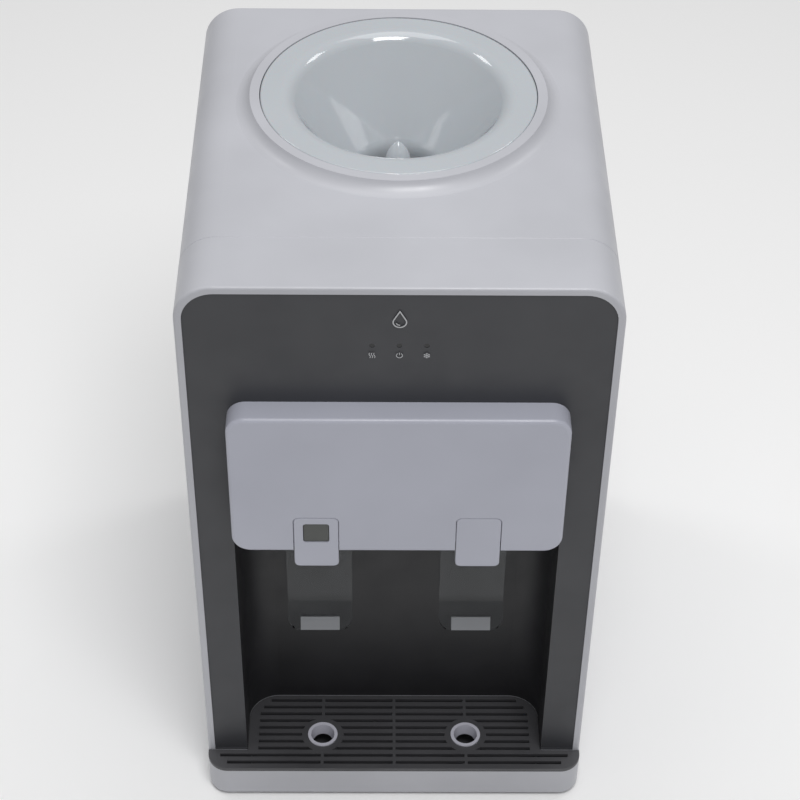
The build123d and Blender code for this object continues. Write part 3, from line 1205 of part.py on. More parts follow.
# Compressor: a domed oval shell with its weld seam, terminal boss and mounting plate
with BuildPart() as compressor:
    with BuildSketch(Plane.XY.offset(COMPRESSOR_BOTTOM)):
        with Locations((COMPRESSOR_X, COMPRESSOR_Y)):
            Ellipse(COMPRESSOR_LONG, COMPRESSOR_SHORT)
    extrude(amount=COMPRESSOR_HEIGHT)
    fillet(compressor.faces().sort_by(Axis.Z)[-1].edges(), COMPRESSOR_DOME)
    with BuildSketch(Plane.XY.offset(COMPRESSOR_BOTTOM + COMPRESSOR_HEIGHT / 2)):
        with Locations((COMPRESSOR_X, COMPRESSOR_Y)):
            Ellipse(COMPRESSOR_LONG + 2 * SHEET, COMPRESSOR_SHORT + 2 * SHEET)
    extrude(amount=2 * SHEET, both=True)
    with BuildSketch(Plane.XY.offset(COMPRESSOR_BOTTOM - MOUNT_PLATE)):
        with Locations((COMPRESSOR_X, COMPRESSOR_Y)):
            RectangleRounded(2 * MOUNT_X + 3 * GROMMET_RADIUS, 2 * MOUNT_Y + 2 * GROMMET_RADIUS,
                             GROMMET_RADIUS)
    extrude(amount=MOUNT_PLATE)
    terminal_z = COMPRESSOR_BOTTOM + COMPRESSOR_HEIGHT / 4
    with Locations((COMPRESSOR_X, COMPRESSOR_Y - COMPRESSOR_SHORT, terminal_z)):
        Box(TERMINAL_WIDTH, TERMINAL_DEPTH, TERMINAL_HEIGHT, align=LOW)
save(compressor.part, "compressor")

with BuildPart() as compressor_grommets:
    with Locations((COMPRESSOR_X, COMPRESSOR_Y, BASE_FLOOR_Z)):
        with GridLocations(2 * MOUNT_X, 2 * MOUNT_Y, 2, 2):
            Cylinder(GROMMET_RADIUS, COMPRESSOR_BOTTOM - MOUNT_PLATE - BASE_FLOOR_Z, align=LOW)
save(compressor_grommets.part, "compressor_grommets")

# Condenser: a serpentine tube between two rows of wires, on straps in the rear recess
with BuildPart() as condenser:
    turns = []
    for run in range(CONDENSER_RUNS):
        z = CONDENSER_TOP_Z - run * CONDENSER_PITCH
        ends = [CONDENSER_HALF, -CONDENSER_HALF]
        if run % 2:
            ends.reverse()
        turns += [(ends[0], CONDENSER_Y, z), (ends[1], CONDENSER_Y, z)]
    turns[0] = (CONDENSER_INLET_X, CONDENSER_Y, CONDENSER_TOP_Z)
    turns[-1] = (DRIER_X, CONDENSER_Y, CONDENSER_BOTTOM)
    stub_y = RECESS_Y - SPIGOT_LENGTH
    route = [(CONDENSER_INLET_X, stub_y, CONDENSER_TOP_Z), *turns, (DRIER_X, stub_y, CONDENSER_BOTTOM)]
    add(hose(route, [3 * CONDENSER_TUBE] + [CONDENSER_PITCH / 2 - HOLE_GAP] * (len(turns) - 2)
             + [3 * CONDENSER_TUBE], CONDENSER_TUBE))
    wire_offset = CONDENSER_TUBE + CONDENSER_WIRE - CONDENSER_BITE
    wire_count = int((2 * CONDENSER_HALF - CONDENSER_PITCH) / WIRE_PITCH)
    wire_z = CONDENSER_BOTTOM - CONDENSER_PITCH / 3
    for side in (-1, 1):
        with Locations((0, CONDENSER_Y + side * wire_offset, wire_z)):
            with GridLocations(WIRE_PITCH, 1, wire_count, 1):
                Cylinder(CONDENSER_WIRE, CONDENSER_TOP_Z - wire_z + CONDENSER_PITCH / 3, align=LOW)
    strap_reach = CONDENSER_STANDOFF - CONDENSER_TUBE - 2 * CONDENSER_WIRE + CONDENSER_BITE * 2
    for z in (CONDENSER_BOTTOM + CONDENSER_PITCH / 2, CONDENSER_TOP_Z - CONDENSER_PITCH / 2):
        with Locations((0, RECESS_Y, z)):
            Box((wire_count - 1) * WIRE_PITCH, strap_reach, CONDENSER_TUBE * 2,
                align=(Align.CENTER, Align.MIN, Align.CENTER))
save(condenser.part, "condenser")

with BuildPart() as filter_drier:
    with Locations((DRIER_X, DRIER_Y, DRIER_BOTTOM)):
        Cylinder(DRIER_RADIUS, DRIER_HEIGHT, align=LOW)
    chamfer(filter_drier.edges().filter_by(GeomType.CIRCLE), DRIER_RADIUS / 2)
save(filter_drier.part, "filter_drier")

# Copper lines: suction, discharge, condenser to drier, and drier to evaporator
suction_port = (COMPRESSOR_X + SUCTION_PORT[0], COMPRESSOR_Y + SUCTION_PORT[1])
discharge_port = (COMPRESSOR_X + DISCHARGE_PORT[0], COMPRESSOR_Y + DISCHARGE_PORT[1])
suction_z = COMPRESSOR_TOP_Z + SUCTION_CREST
discharge_z = COMPRESSOR_TOP_Z + DISCHARGE_CREST
drier_top_z = DRIER_BOTTOM + DRIER_HEIGHT
with BuildPart() as refrigerant_lines:
    add(hose(
        [(coil_port_x, SEAT_Y, coil_top_z), (SUCTION_X, SEAT_Y, coil_top_z),
         (SUCTION_X, SEAT_Y, suction_z), (*suction_port, suction_z), (*suction_port, COMPRESSOR_TOP_Z)],
        [12, 8, 8], LINE_RADIUS,
    ))
    add(hose(
        [(*discharge_port, COMPRESSOR_TOP_Z), (*discharge_port, discharge_z),
         (CONDENSER_INLET_X, DISCHARGE_Y, discharge_z),
         (CONDENSER_INLET_X, DISCHARGE_Y, CONDENSER_TOP_Z),
         (CONDENSER_INLET_X, stub_y, CONDENSER_TOP_Z)],
        [10, 10, 10], LINE_RADIUS,
    ))
    add(hose(
        [(DRIER_X, stub_y, CONDENSER_BOTTOM), (DRIER_X, DRIER_Y, CONDENSER_BOTTOM),
         (DRIER_X, DRIER_Y, DRIER_BOTTOM)],
        [9], LINE_RADIUS,
    ))
    add(hose(
        [(DRIER_X, DRIER_Y, drier_top_z), (DRIER_X, DRIER_Y, COIL_Z), (DRIER_X, SEAT_Y, COIL_Z),
         (coil_port_x, SEAT_Y, COIL_Z)],
        [12, 7], LINE_RADIUS,
    ))
save(refrigerant_lines.part, "refrigerant_lines")

# Rear fittings: drain spigots and caps, mains inlet, switches and the control box
with BuildPart() as drain_spigots:
    with BuildSketch(seen_from_front(spigot_y)):
        with Locations([(x, DRAIN_HEIGHT) for x in DRAIN_XS]):
            Circle(SPIGOT_RADIUS)
    extrude(amount=-2 * SPIGOT_LENGTH - SHEET)
    with BuildSketch(seen_from_front(RECESS_Y)):
        with Locations([(x, DRAIN_HEIGHT) for x in DRAIN_XS]):
            Circle(CAP_RADIUS)
    extrude(amount=-SHEET)
    with BuildSketch(seen_from_front(spigot_y)):
        with Locations([(x, DRAIN_HEIGHT) for x in DRAIN_XS]):
            Circle(SPIGOT_BORE)
    extrude(amount=-3 * SPIGOT_LENGTH, mode=Mode.SUBTRACT)
save(drain_spigots.part, "drain_spigots")


def drain_cap(x):
    """A screw cap with grip flutes over one drain spigot."""
    cap_y = RECESS_Y + SHEET
    with BuildPart() as cap:
        with BuildSketch(seen_from_front(cap_y)):
            with Locations((x, DRAIN_HEIGHT)):
                Circle(CAP_RADIUS)
                with PolarLocations(CAP_RADIUS, CAP_FLUTES):
                    Circle(SHEET, mode=Mode.SUBTRACT)
        extrude(amount=-CAP_LENGTH)
        with BuildSketch(seen_from_front(cap_y)):
            with Locations((x, DRAIN_HEIGHT)):
                Circle(SPIGOT_RADIUS + CAP_GAP)
        extrude(amount=-(SPIGOT_LENGTH - SHEET + CAP_GAP), mode=Mode.SUBTRACT)
    return cap.part


save(drain_cap(DRAIN_XS[0]), "hot_drain_cap")
save(drain_cap(DRAIN_XS[1]), "cold_drain_cap")

with BuildPart() as mains_inlet:
    with BuildSketch(seen_from_front(RECESS_Y)):
        with Locations((INLET_X, INLET_HEIGHT)):
            RectangleRounded(*INLET_FLANGE, INLET_CORNER_RADIUS)
    extrude(amount=-INLET_FLANGE_THICKNESS)
    with BuildSketch(seen_from_front(RECESS_Y)):
        with Locations((INLET_X, INLET_HEIGHT)):
            Rectangle(*INLET_BODY)
    extrude(amount=INLET_DEPTH)
    with BuildSketch(seen_from_front(RECESS_Y + INLET_FLANGE_THICKNESS)) as socket:
        with Locations((INLET_X, INLET_HEIGHT)):
            Rectangle(*INLET_SOCKET)
        chamfer(socket.vertices().group_by(Axis.Y)[-1], INLET_SOCKET_CHAMFER)
    extrude(amount=INLET_SOCKET_DEPTH, mode=Mode.SUBTRACT)
    with BuildSketch(seen_from_front(RECESS_Y - PIN_SETBACK)):
        for step, offset in ((-1, -PIN_OFFSET), (0, PIN_OFFSET), (1, -PIN_OFFSET)):
            with Locations((INLET_X + step * PIN_PITCH, INLET_HEIGHT + offset)):
                Rectangle(*PIN_SECTION)
    extrude(amount=BLADE_LENGTH)
save(mains_inlet.part, "mains_inlet")

with BuildPart() as switch_housings:
    switch_places = [(x, SWITCH_Z) for x in SWITCH_XS]
    with BuildSketch(seen_from_front(RECESS_Y)):
        with Locations(switch_places):
            RectangleRounded(SWITCH_WIDTH, SWITCH_TALL, SWITCH_CORNER_RADIUS)
    extrude(amount=-SWITCH_FLANGE)
    with BuildSketch(seen_from_front(RECESS_Y)):
        with Locations(switch_places):
            Rectangle(SWITCH_WIDTH - 2 * SHEET, SWITCH_TALL - 2 * SHEET)
    extrude(amount=SWITCH_DEPTH)
    with BuildSketch(seen_from_front(RECESS_Y + SWITCH_FLANGE)):
        with Locations(switch_places):
            Rectangle(ROCKER_WIDTH + 2 * ROCKER_SIDE_GAP, ROCKER_TALL + 2 * ROCKER_END_GAP)
    extrude(amount=SWITCH_POCKET, mode=Mode.SUBTRACT)
save(switch_housings.part, "switch_housings")


def rocker(x):
    """A switch rocker: two faces that meet over its pivot, tipped to the off side."""
    pivot = Axis((x, RECESS_Y, SWITCH_Z), (1, 0, 0))
    heel_y = RECESS_Y - ROCKER_HEEL
    peak_y = RECESS_Y + ROCKER_PEAK
    low_z = SWITCH_Z - ROCKER_TALL / 2
    high_z = SWITCH_Z + ROCKER_TALL / 2
    with BuildPart() as button:
        with BuildSketch(Plane.YZ.offset(x)):
            with BuildLine():
                Polyline(
                    (heel_y, SWITCH_Z - ROCKER_HEEL), (heel_y, SWITCH_Z + ROCKER_HEEL),
                    (RECESS_Y, high_z), (peak_y, high_z), (RECESS_Y + ROCKER_RISE, SWITCH_Z),
                    (peak_y, low_z), (RECESS_Y, low_z), close=True,
                )
            make_face()
        extrude(amount=ROCKER_WIDTH / 2, both=True)
    return button.part.rotate(pivot, ROCKER_TILT)


save(rocker(SWITCH_XS[0]), "hot_switch_rocker")
save(rocker(SWITCH_XS[1]), "cold_switch_rocker")

with BuildPart() as control_box:
    with Locations((-HALF_WIDTH + SHEET, SEAT_Y, BOX_MIDDLE)):
        Box(BOX_THICKNESS, BOX_DEPTH, BOX_HEIGHT, align=(Align.MIN, Align.MIN, Align.CENTER))
    fillet(control_box.edges().filter_by(Axis.X), BASE_WALL)
save(control_box.part, "control_box")
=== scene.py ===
import math

import bmesh
import bpy
from mathutils import Matrix, Vector


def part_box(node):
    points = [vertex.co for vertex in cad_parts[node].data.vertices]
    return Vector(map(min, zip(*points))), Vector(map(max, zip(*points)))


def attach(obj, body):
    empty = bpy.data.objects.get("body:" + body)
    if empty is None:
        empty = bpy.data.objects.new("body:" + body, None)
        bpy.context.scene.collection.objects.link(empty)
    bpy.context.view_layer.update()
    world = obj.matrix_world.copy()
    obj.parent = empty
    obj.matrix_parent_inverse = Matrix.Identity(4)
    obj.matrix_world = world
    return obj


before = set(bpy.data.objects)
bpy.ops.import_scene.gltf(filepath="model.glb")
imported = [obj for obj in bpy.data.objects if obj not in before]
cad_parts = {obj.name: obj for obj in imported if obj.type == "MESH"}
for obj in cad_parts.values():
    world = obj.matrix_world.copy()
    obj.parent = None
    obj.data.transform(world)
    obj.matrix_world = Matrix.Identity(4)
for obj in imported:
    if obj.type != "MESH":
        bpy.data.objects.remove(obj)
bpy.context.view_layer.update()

# Studio: a pale sheet under the dispenser, an even white surround and soft overhead light.
# The camera stands in front and looks down at 42 degrees through a long lens.
LAMP_AIM = (0, 0, 0.4)
SURROUND_STRENGTH = 0.36
FLOOR_HALF_WIDTH = 6
CAMERA_PLACE = Vector((-0.0152, -1.2360, 1.4070))
CAMERA_PITCH, CAMERA_YAW, CAMERA_ROLL = 0.740, 0.015, 0.014
forward = Vector((
    math.sin(CAMERA_YAW) * math.cos(CAMERA_PITCH),
    math.cos(CAMERA_YAW) * math.cos(CAMERA_PITCH),
    -math.sin(CAMERA_PITCH),
))
level = Vector((math.cos(CAMERA_YAW), -math.sin(CAMERA_YAW), 0))
upward = level.cross(forward)
right = math.cos(CAMERA_ROLL) * level + math.sin(CAMERA_ROLL) * upward
above = math.cos(CAMERA_ROLL) * upward - math.sin(CAMERA_ROLL) * level
lens = bpy.data.cameras.new("studio_camera")
lens.lens = 92.16
lens.clip_end = 20
camera = bpy.data.objects.new("studio_camera", lens)
camera_turn = Matrix((right, above, -forward)).transposed().to_4x4()
camera.matrix_world = Matrix.Translation(CAMERA_PLACE) @ camera_turn
bpy.context.scene.collection.objects.link(camera)
bpy.context.scene.camera = camera
bpy.context.scene.view_settings.view_transform = "Standard"


def srgb(code):
    """Turn an sRGB hex colour such as 'c8c8cc' into linear RGBA."""
    parts = [int(code[i:i + 2], 16) / 255 for i in (0, 2, 4)]
    return (*[c / 12.92 if c <= 0.04045 else ((c + 0.055) / 1.055) ** 2.4 for c in parts], 1.0)


def add_node(tree, kind, inputs=None, **settings):
    """Add a node, set its properties, and fill its sockets with values or links."""
    made = tree.nodes.new(kind)
    for name, value in settings.items():
        setattr(made, name, value)
    for socket, value in (inputs or {}).items():
        if isinstance(value, bpy.types.NodeSocket):
            tree.links.new(value, made.inputs[socket])
        else:
            made.inputs[socket].default_value = value
    return made


def soft_lamp(name, place, size, watts):
    """Hang one square soft light at place and turn it to the dispenser's middle."""
    lamp = bpy.data.lights.new(name, "AREA")
    lamp.shape, lamp.size, lamp.energy = "SQUARE", size, watts
    hung = bpy.data.objects.new(name, lamp)
    hung.matrix_world = Matrix.Translation(place) @ (
        (Vector(LAMP_AIM) - Vector(place)).to_track_quat("-Z", "Y").to_matrix().to_4x4()
    )
    bpy.context.scene.collection.objects.link(hung)


soft_lamp("overhead_softbox", (0, 0.2, 2.6), size=1.4, watts=12)
soft_lamp("high_front_softbox", (0.3, -1.1, 2.7), size=1.0, watts=30)
soft_lamp("left_window", (-1.6, 0.9, 2.3), size=0.6, watts=6)
soft_lamp("right_window", (1.6, 0.9, 2.3), size=0.6, watts=6)
world = bpy.data.worlds.new("white_surround")
world.use_nodes = True
surround = world.node_tree.nodes["Background"]
surround.inputs["Color"].default_value = srgb("ffffff")
surround.inputs["Strength"].default_value = SURROUND_STRENGTH
bpy.context.scene.world = world

paper = bpy.data.materials.new("pale_backdrop_paper")
paper.use_nodes = True
paper_shader = paper.node_tree.nodes["Principled BSDF"]
paper_shader.inputs["Base Color"].default_value = srgb("fbfbfb")
paper_shader.inputs["Roughness"].default_value = 0.9
floor_mesh = bmesh.new()
bmesh.ops.create_grid(floor_mesh, x_segments=1, y_segments=1, size=FLOOR_HALF_WIDTH)
floor_data = bpy.data.meshes.new("pale_floor")
floor_mesh.to_mesh(floor_data)
floor_mesh.free()
floor_data.materials.append(paper)
floor = bpy.data.objects.new("pale_floor", floor_data)
bpy.context.scene.collection.objects.link(floor)


# Outer shell: base pan, bezel, top cover and tap cover, injection moulded in pearl-grey ABS.
# The tool's fine spark-eroded texture gives a satin face; the shades drift slightly with flow.
FLOW_PER_METRE = 9.0  # one swirl of plastic flow every 110 mm or so
WEAR_PER_METRE = 45.0  # hands and cloths dull patches about 22 mm across
PLASTIC_IOR = 1.53


def new_finish(name):
    """Start a material: its tree, its shader and its coordinates in metres."""
    made = bpy.data.materials.new(name)
    made.use_nodes = True
    tree = made.node_tree
    place = add_node(tree, "ShaderNodeTexCoord").outputs["Object"]
    return made, tree, tree.nodes["Principled BSDF"], place


def moulded(name, code, low, high, grain_mm, depth_mm, drift=0.05, **sockets):
    """Injection-moulded plastic: flow drift in shade and gloss, and the tool's fine texture."""
    made, tree, shader, place = new_finish(name)
    tint = srgb(code)
    flow = add_node(tree, "ShaderNodeTexNoise", {
        "Vector": place, "Scale": FLOW_PER_METRE, "Detail": 3.0,
    })
    shade = add_node(tree, "ShaderNodeValToRGB", {"Fac": flow.outputs["Fac"]})
    shade.color_ramp.elements[0].position, shade.color_ramp.elements[1].position = 0.3, 0.7
    shade.color_ramp.elements[0].color = (*[c * (1 - drift) for c in tint[:3]], 1)
    shade.color_ramp.elements[1].color = (*[min(1, c * (1 + drift)) for c in tint[:3]], 1)
    tree.links.new(shade.outputs["Color"], shader.inputs["Base Color"])
    wear = add_node(tree, "ShaderNodeTexNoise", {
        "Vector": place, "Scale": WEAR_PER_METRE, "Detail": 6.0,
    })
    gloss = add_node(tree, "ShaderNodeMapRange", {
        "Value": wear.outputs["Fac"], "From Min": 0.3, "From Max": 0.7,
        "To Min": low, "To Max": high,
    })
    tree.links.new(gloss.outputs["Result"], shader.inputs["Roughness"])
    grain = add_node(tree, "ShaderNodeTexNoise", {
        "Vector": place, "Scale": 1000 / grain_mm, "Detail": 2.0, "Roughness": 0.5,
    })
    relief = add_node(tree, "ShaderNodeBump", {
        "Height": grain.outputs["Fac"], "Distance": depth_mm / 1000, "Strength": 0.6,
    })
    tree.links.new(relief.outputs["Normal"], shader.inputs["Normal"])
    shader.inputs["IOR"].default_value = PLASTIC_IOR
    for socket, value in sockets.items():
        shader.inputs[socket.replace("_", " ")].default_value = value
    return made


def finish(nodes, made):
    """Give CAD nodes one finish in every material slot."""
    for name in nodes:
        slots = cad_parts[name].data.materials
        for index in range(len(slots)):
            slots[index] = made


pearl_abs = moulded("pearl_grey_abs", "b5b6bc", 0.30, 0.42, grain_mm=1.2, depth_mm=0.02)
finish(["base_pan", "front_bezel", "top_cover"], pearl_abs)
cover_abs = moulded("tap_cover_abs", "b0b2be", 0.28, 0.38, grain_mm=1.2, depth_mm=0.015)
finish(["tap_cover", "hot_tap_lever", "cold_tap_lever"], cover_abs)


# Side panels: cold-rolled steel sheet, folded and powder coated to match the mouldings.
# The coat flows out to a faint orange peel a few millimetres across.
COAT_PATCHES_PER_METRE = 14.0  # the film's thickness drifts over about 70 mm
PEEL_MM = 2.5
PEEL_DEPTH = 0.00006


def powder_coat(name, code):
    """Powder coat: even colour, satin gloss and a shallow orange peel."""
    made, tree, shader, place = new_finish(name)
    flow = add_node(tree, "ShaderNodeTexNoise", {
        "Vector": place, "Scale": COAT_PATCHES_PER_METRE, "Detail": 4.0,
    })
    shade = add_node(tree, "ShaderNodeValToRGB", {"Fac": flow.outputs["Fac"]})
    tint = srgb(code)
    shade.color_ramp.elements[0].color = (*[c * 0.96 for c in tint[:3]], 1)
    shade.color_ramp.elements[1].color = (*[c * 1.03 for c in tint[:3]], 1)
    tree.links.new(shade.outputs["Color"], shader.inputs["Base Color"])
    peel = add_node(tree, "ShaderNodeTexNoise", {
        "Vector": place, "Scale": 1000 / PEEL_MM, "Detail": 3.0,
    })
    relief = add_node(tree, "ShaderNodeBump", {
        "Height": peel.outputs["Fac"], "Distance": PEEL_DEPTH, "Strength": 0.5,
    })
    tree.links.new(relief.outputs["Normal"], shader.inputs["Normal"])
    gloss = add_node(tree, "ShaderNodeMapRange", {
        "Value": flow.outputs["Fac"], "To Min": 0.36, "To Max": 0.48,
    })
    tree.links.new(gloss.outputs["Result"], shader.inputs["Roughness"])
    return made


finish(["left_side_panel", "right_side_panel"], powder_coat("pearl_powder_coat", "b3b4b9"))


# Front panel: charcoal ABS, one moulding with the deep cup alcove behind its opening.
# A finely etched tool leaves the face nearly matt, with soft reflections at low angles.
# Behind the face the colour turns darker as painted shade, standing in for the shadow that falls
# into the alcove under the tap cover.
PAINTED_SHADE_START, PAINTED_SHADE_FULL = 0.002, 0.004  # depths behind the face where the shade turns
COLOUR_A, COLOUR_B, COLOUR_OUT = 6, 7, 2  # the Mix node's colour sockets
charcoal = moulded(
    "charcoal_abs", "35363a", 0.38, 0.50, grain_mm=0.9, depth_mm=0.03, drift=0.07,
)
charcoal_tree = charcoal.node_tree
charcoal_shader = charcoal_tree.nodes["Principled BSDF"]
plain_shade = charcoal_shader.inputs["Base Color"].links[0].from_socket
charcoal_place = add_node(charcoal_tree, "ShaderNodeTexCoord").outputs["Object"]
charcoal_axes = add_node(charcoal_tree, "ShaderNodeSeparateXYZ", {"Vector": charcoal_place})
panel_face_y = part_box("front_panel")[0][1]
painted_shade_share = add_node(charcoal_tree, "ShaderNodeMapRange", {
    "Value": charcoal_axes.outputs["Y"],
    "From Min": panel_face_y + PAINTED_SHADE_START, "From Max": panel_face_y + PAINTED_SHADE_FULL,
})
# Painted shade: deeper than the face, the colour mixes into a darker charcoal where the alcove
# lies in shadow.
painted_alcove_shade = add_node(charcoal_tree, "ShaderNodeMix", {
    "Factor": painted_shade_share.outputs["Result"], COLOUR_A: plain_shade, COLOUR_B: srgb("212124"),
}, data_type="RGBA")
charcoal_tree.links.new(painted_alcove_shade.outputs[COLOUR_OUT], charcoal_shader.inputs["Base Color"])
finish(["front_panel"], charcoal)


# Drip basin and grille: black-grey polypropylene, lifted out to be emptied.
# Water scale and wiping leave small changes in gloss over a coarser grain.
# The two drain rings are glossy pale ABS, pressed into the grille under the spouts.
finish(["drip_basin", "drip_grille"], moulded(
    "tray_polypropylene", "48484b", 0.36, 0.56, grain_mm=0.8, depth_mm=0.04, drift=0.10,
))
finish(["drain_rings"], moulded(
    "ring_abs", "c9c9d4", 0.18, 0.28, grain_mm=2.5, depth_mm=0.01, drift=0.03,
))


# Bottle seat and probe: polished white polypropylene, a food-grade funnel that wipes clean.
# The mirror-polished tool gives a wet gloss over a faintly translucent body.
finish(["bottle_seat", "water_probe"], moulded(
    "polished_seat_polypropylene", "b4b9be", 0.07, 0.13, grain_mm=6.0, depth_mm=0.02, drift=0.02,
    Coat_Weight=0.6, Coat_Roughness=0.05, Subsurface_Weight=0.05, Subsurface_Scale=0.004,
))


# Paddles: bent clear polycarbonate sheet that a cup pushes back.
# Flame-polished faces, with faint smears a few centimetres across from cups and fingers.
SMEARS_PER_METRE = 45.0
PADDLE_IOR = 1.25  # under polycarbonate's own 1.58, so that the floor mirrors less in it
clear, clear_tree, clear_shader, clear_place = new_finish("clear_polycarbonate")
smears = add_node(clear_tree, "ShaderNodeTexNoise", {
    "Vector": clear_place, "Scale": SMEARS_PER_METRE, "Detail": 2.0,
})
smear_gloss = add_node(clear_tree, "ShaderNodeMapRange", {
    "Value": smears.outputs["Fac"], "From Min": 0.4, "From Max": 0.7,
    "To Min": 0.01, "To Max": 0.05,
})
clear_tree.links.new(smear_gloss.outputs["Result"], clear_shader.inputs["Roughness"])
clear_shader.inputs["Base Color"].default_value = srgb("eef1f3")
clear_shader.inputs["Transmission Weight"].default_value = 1.0
clear_shader.inputs["IOR"].default_value = PADDLE_IOR
finish(["hot_paddle", "cold_paddle"], clear)


# Paddle pads: small silver-grey plates bonded to the paddles where the cup's rim bears.
# Ribbed film with fine level lines half a millimetre apart.
RIB_MM = 0.5
RIB_DEPTH = 0.00005
pad_finish = moulded("silver_pad_film", "84868a", 0.28, 0.36, grain_mm=1.0, depth_mm=0.01)
pad_tree = pad_finish.node_tree
pad_shader = pad_tree.nodes["Principled BSDF"]
pad_place = add_node(pad_tree, "ShaderNodeTexCoord").outputs["Object"]
pad_lines = add_node(pad_tree, "ShaderNodeTexWave", {
    "Vector": pad_place, "Scale": 1000 / RIB_MM / (2 * math.pi), "Distortion": 0.0,
}, bands_direction="Z")
pad_relief = add_node(pad_tree, "ShaderNodeBump", {
    "Height": pad_lines.outputs["Fac"], "Distance": RIB_DEPTH, "Strength": 0.5,
})
pad_tree.links.new(pad_relief.outputs["Normal"], pad_shader.inputs["Normal"])
finish(["hot_paddle_pad", "cold_paddle_pad"], pad_finish)


# Child lock: a dark ABS push button that slides in the hot tab.
# Its face has a coarser moulded texture, so that a thumb grips it.
finish(["child_lock_button"], moulded(
    "lock_button_abs", "4a4c4a", 0.40, 0.52, grain_mm=0.7, depth_mm=0.04,
))


# Hidden and rear plastics: taps and drain fittings in natural nylon, switch and socket shells
# in black polyamide, rockers in coloured gloss, hoses in milky silicone.
finish(
    ["hot_tap_body", "cold_tap_body", "hot_tap_bonnet", "cold_tap_bonnet", "hot_valve_stem",
     "cold_valve_stem", "tap_nuts", "baffle_plate", "drain_spigots"],
    moulded(
        "natural_nylon", "dcdcd8", 0.32, 0.44, grain_mm=1.0, depth_mm=0.02,
        Subsurface_Weight=0.1, Subsurface_Scale=0.003,
    ),
)
finish(["hot_drain_cap", "cold_drain_cap"], moulded(
    "cap_nylon", "e2e2df", 0.30, 0.42, grain_mm=1.0, depth_mm=0.03,
))
finish(
    ["mains_inlet", "switch_housings", "control_box", "thermostats"],
    moulded("black_polyamide", "1b1b1d", 0.40, 0.55, grain_mm=0.8, depth_mm=0.04),
)
finish(["hot_switch_rocker"], moulded(
    "red_rocker_abs", "a3201a", 0.16, 0.26, grain_mm=3.0, depth_mm=0.01,
))
finish(["cold_switch_rocker"], moulded(
    "green_rocker_abs", "1f7a3a", 0.16, 0.26, grain_mm=3.0, depth_mm=0.01,
))
finish(["water_hoses", "drain_hoses"], moulded(
    "milky_silicone", "d9d9d2", 0.36, 0.50, grain_mm=2.0, depth_mm=0.02, Subsurface_Weight=0.3,
    Subsurface_Scale=0.004,
))
finish(["indicator_lenses"], moulded(
    "smoked_lens_acrylic", "17181a", 0.06, 0.12, grain_mm=4.0, depth_mm=0.005, drift=0.1,
))

# Rubber: feet, compressor grommets and the seat's seal, compression moulded in black.
# Nearly matt, with a dusty drift in shade.
finish(["rubber_feet", "compressor_grommets", "seat_seal"], moulded(
    "black_rubber", "222224", 0.70, 0.88, grain_mm=1.6, depth_mm=0.06, drift=0.18,
))


# Sheet metal: the rear panel, shelf and bracket are hot-dip galvanised steel.
# Zinc crystals make a spangle about a centimetre across, each with its own tone and gloss.
SPANGLE_MM = 11.0
spangle, spangle_tree, spangle_shader, spangle_place = new_finish("galvanised_steel")
crystals = add_node(spangle_tree, "ShaderNodeTexVoronoi", {
    "Vector": spangle_place, "Scale": 1000 / SPANGLE_MM,
})
crystal_tone = add_node(spangle_tree, "ShaderNodeSeparateColor", {
    "Color": crystals.outputs["Color"],
})
crystal_shade = add_node(spangle_tree, "ShaderNodeValToRGB", {"Fac": crystal_tone.outputs["Red"]})
crystal_shade.color_ramp.elements[0].color = srgb("9a9da0")
crystal_shade.color_ramp.elements[1].color = srgb("b7babd")
crystal_gloss = add_node(spangle_tree, "ShaderNodeMapRange", {
    "Value": crystal_tone.outputs["Green"], "To Min": 0.34, "To Max": 0.52,
})
spangle_tree.links.new(crystal_shade.outputs["Color"], spangle_shader.inputs["Base Color"])
spangle_tree.links.new(crystal_gloss.outputs["Result"], spangle_shader.inputs["Roughness"])
spangle_shader.inputs["Metallic"].default_value = 0.85
finish(["rear_panel", "tank_shelf", "hot_tank_bracket"], spangle)


# Bare metals: brushed stainless tanks, zinc-plated screws and pins, drawn copper lines.
# Drawing and brushing leave fine lines along the piece; handling leaves dull spots.
DULL_SPOTS_PER_METRE = 60.0  # spots about 17 mm across
WORKING_LINE_DEPTH = 0.00003


def worked_metal(name, code, low, high, stretch, line_mm):
    """Metal with fine working lines: stretch holds the lines' run along X, Y and Z."""
    made, tree, shader, place = new_finish(name)
    run = add_node(tree, "ShaderNodeMapping", {
        "Vector": place, "Scale": [1000 / line_mm / s for s in stretch],
    })
    lines = add_node(tree, "ShaderNodeTexNoise", {
        "Vector": run.outputs["Vector"], "Scale": 1.0, "Detail": 3.0,
    })
    dull = add_node(tree, "ShaderNodeTexNoise", {
        "Vector": place, "Scale": DULL_SPOTS_PER_METRE, "Detail": 4.0,
    })
    tint = srgb(code)
    shade = add_node(tree, "ShaderNodeValToRGB", {"Fac": dull.outputs["Fac"]})
    shade.color_ramp.elements[0].color = (*[c * 0.8 for c in tint[:3]], 1)
    shade.color_ramp.elements[1].color = tint
    gloss = add_node(tree, "ShaderNodeMapRange", {
        "Value": lines.outputs["Fac"], "From Min": 0.3, "From Max": 0.7,
        "To Min": low, "To Max": high,
    })
    relief = add_node(tree, "ShaderNodeBump", {
        "Height": lines.outputs["Fac"], "Distance": WORKING_LINE_DEPTH, "Strength": 0.4,
    })
    tree.links.new(shade.outputs["Color"], shader.inputs["Base Color"])
    tree.links.new(gloss.outputs["Result"], shader.inputs["Roughness"])
    tree.links.new(relief.outputs["Normal"], shader.inputs["Normal"])
    shader.inputs["Metallic"].default_value = 1.0
    return made


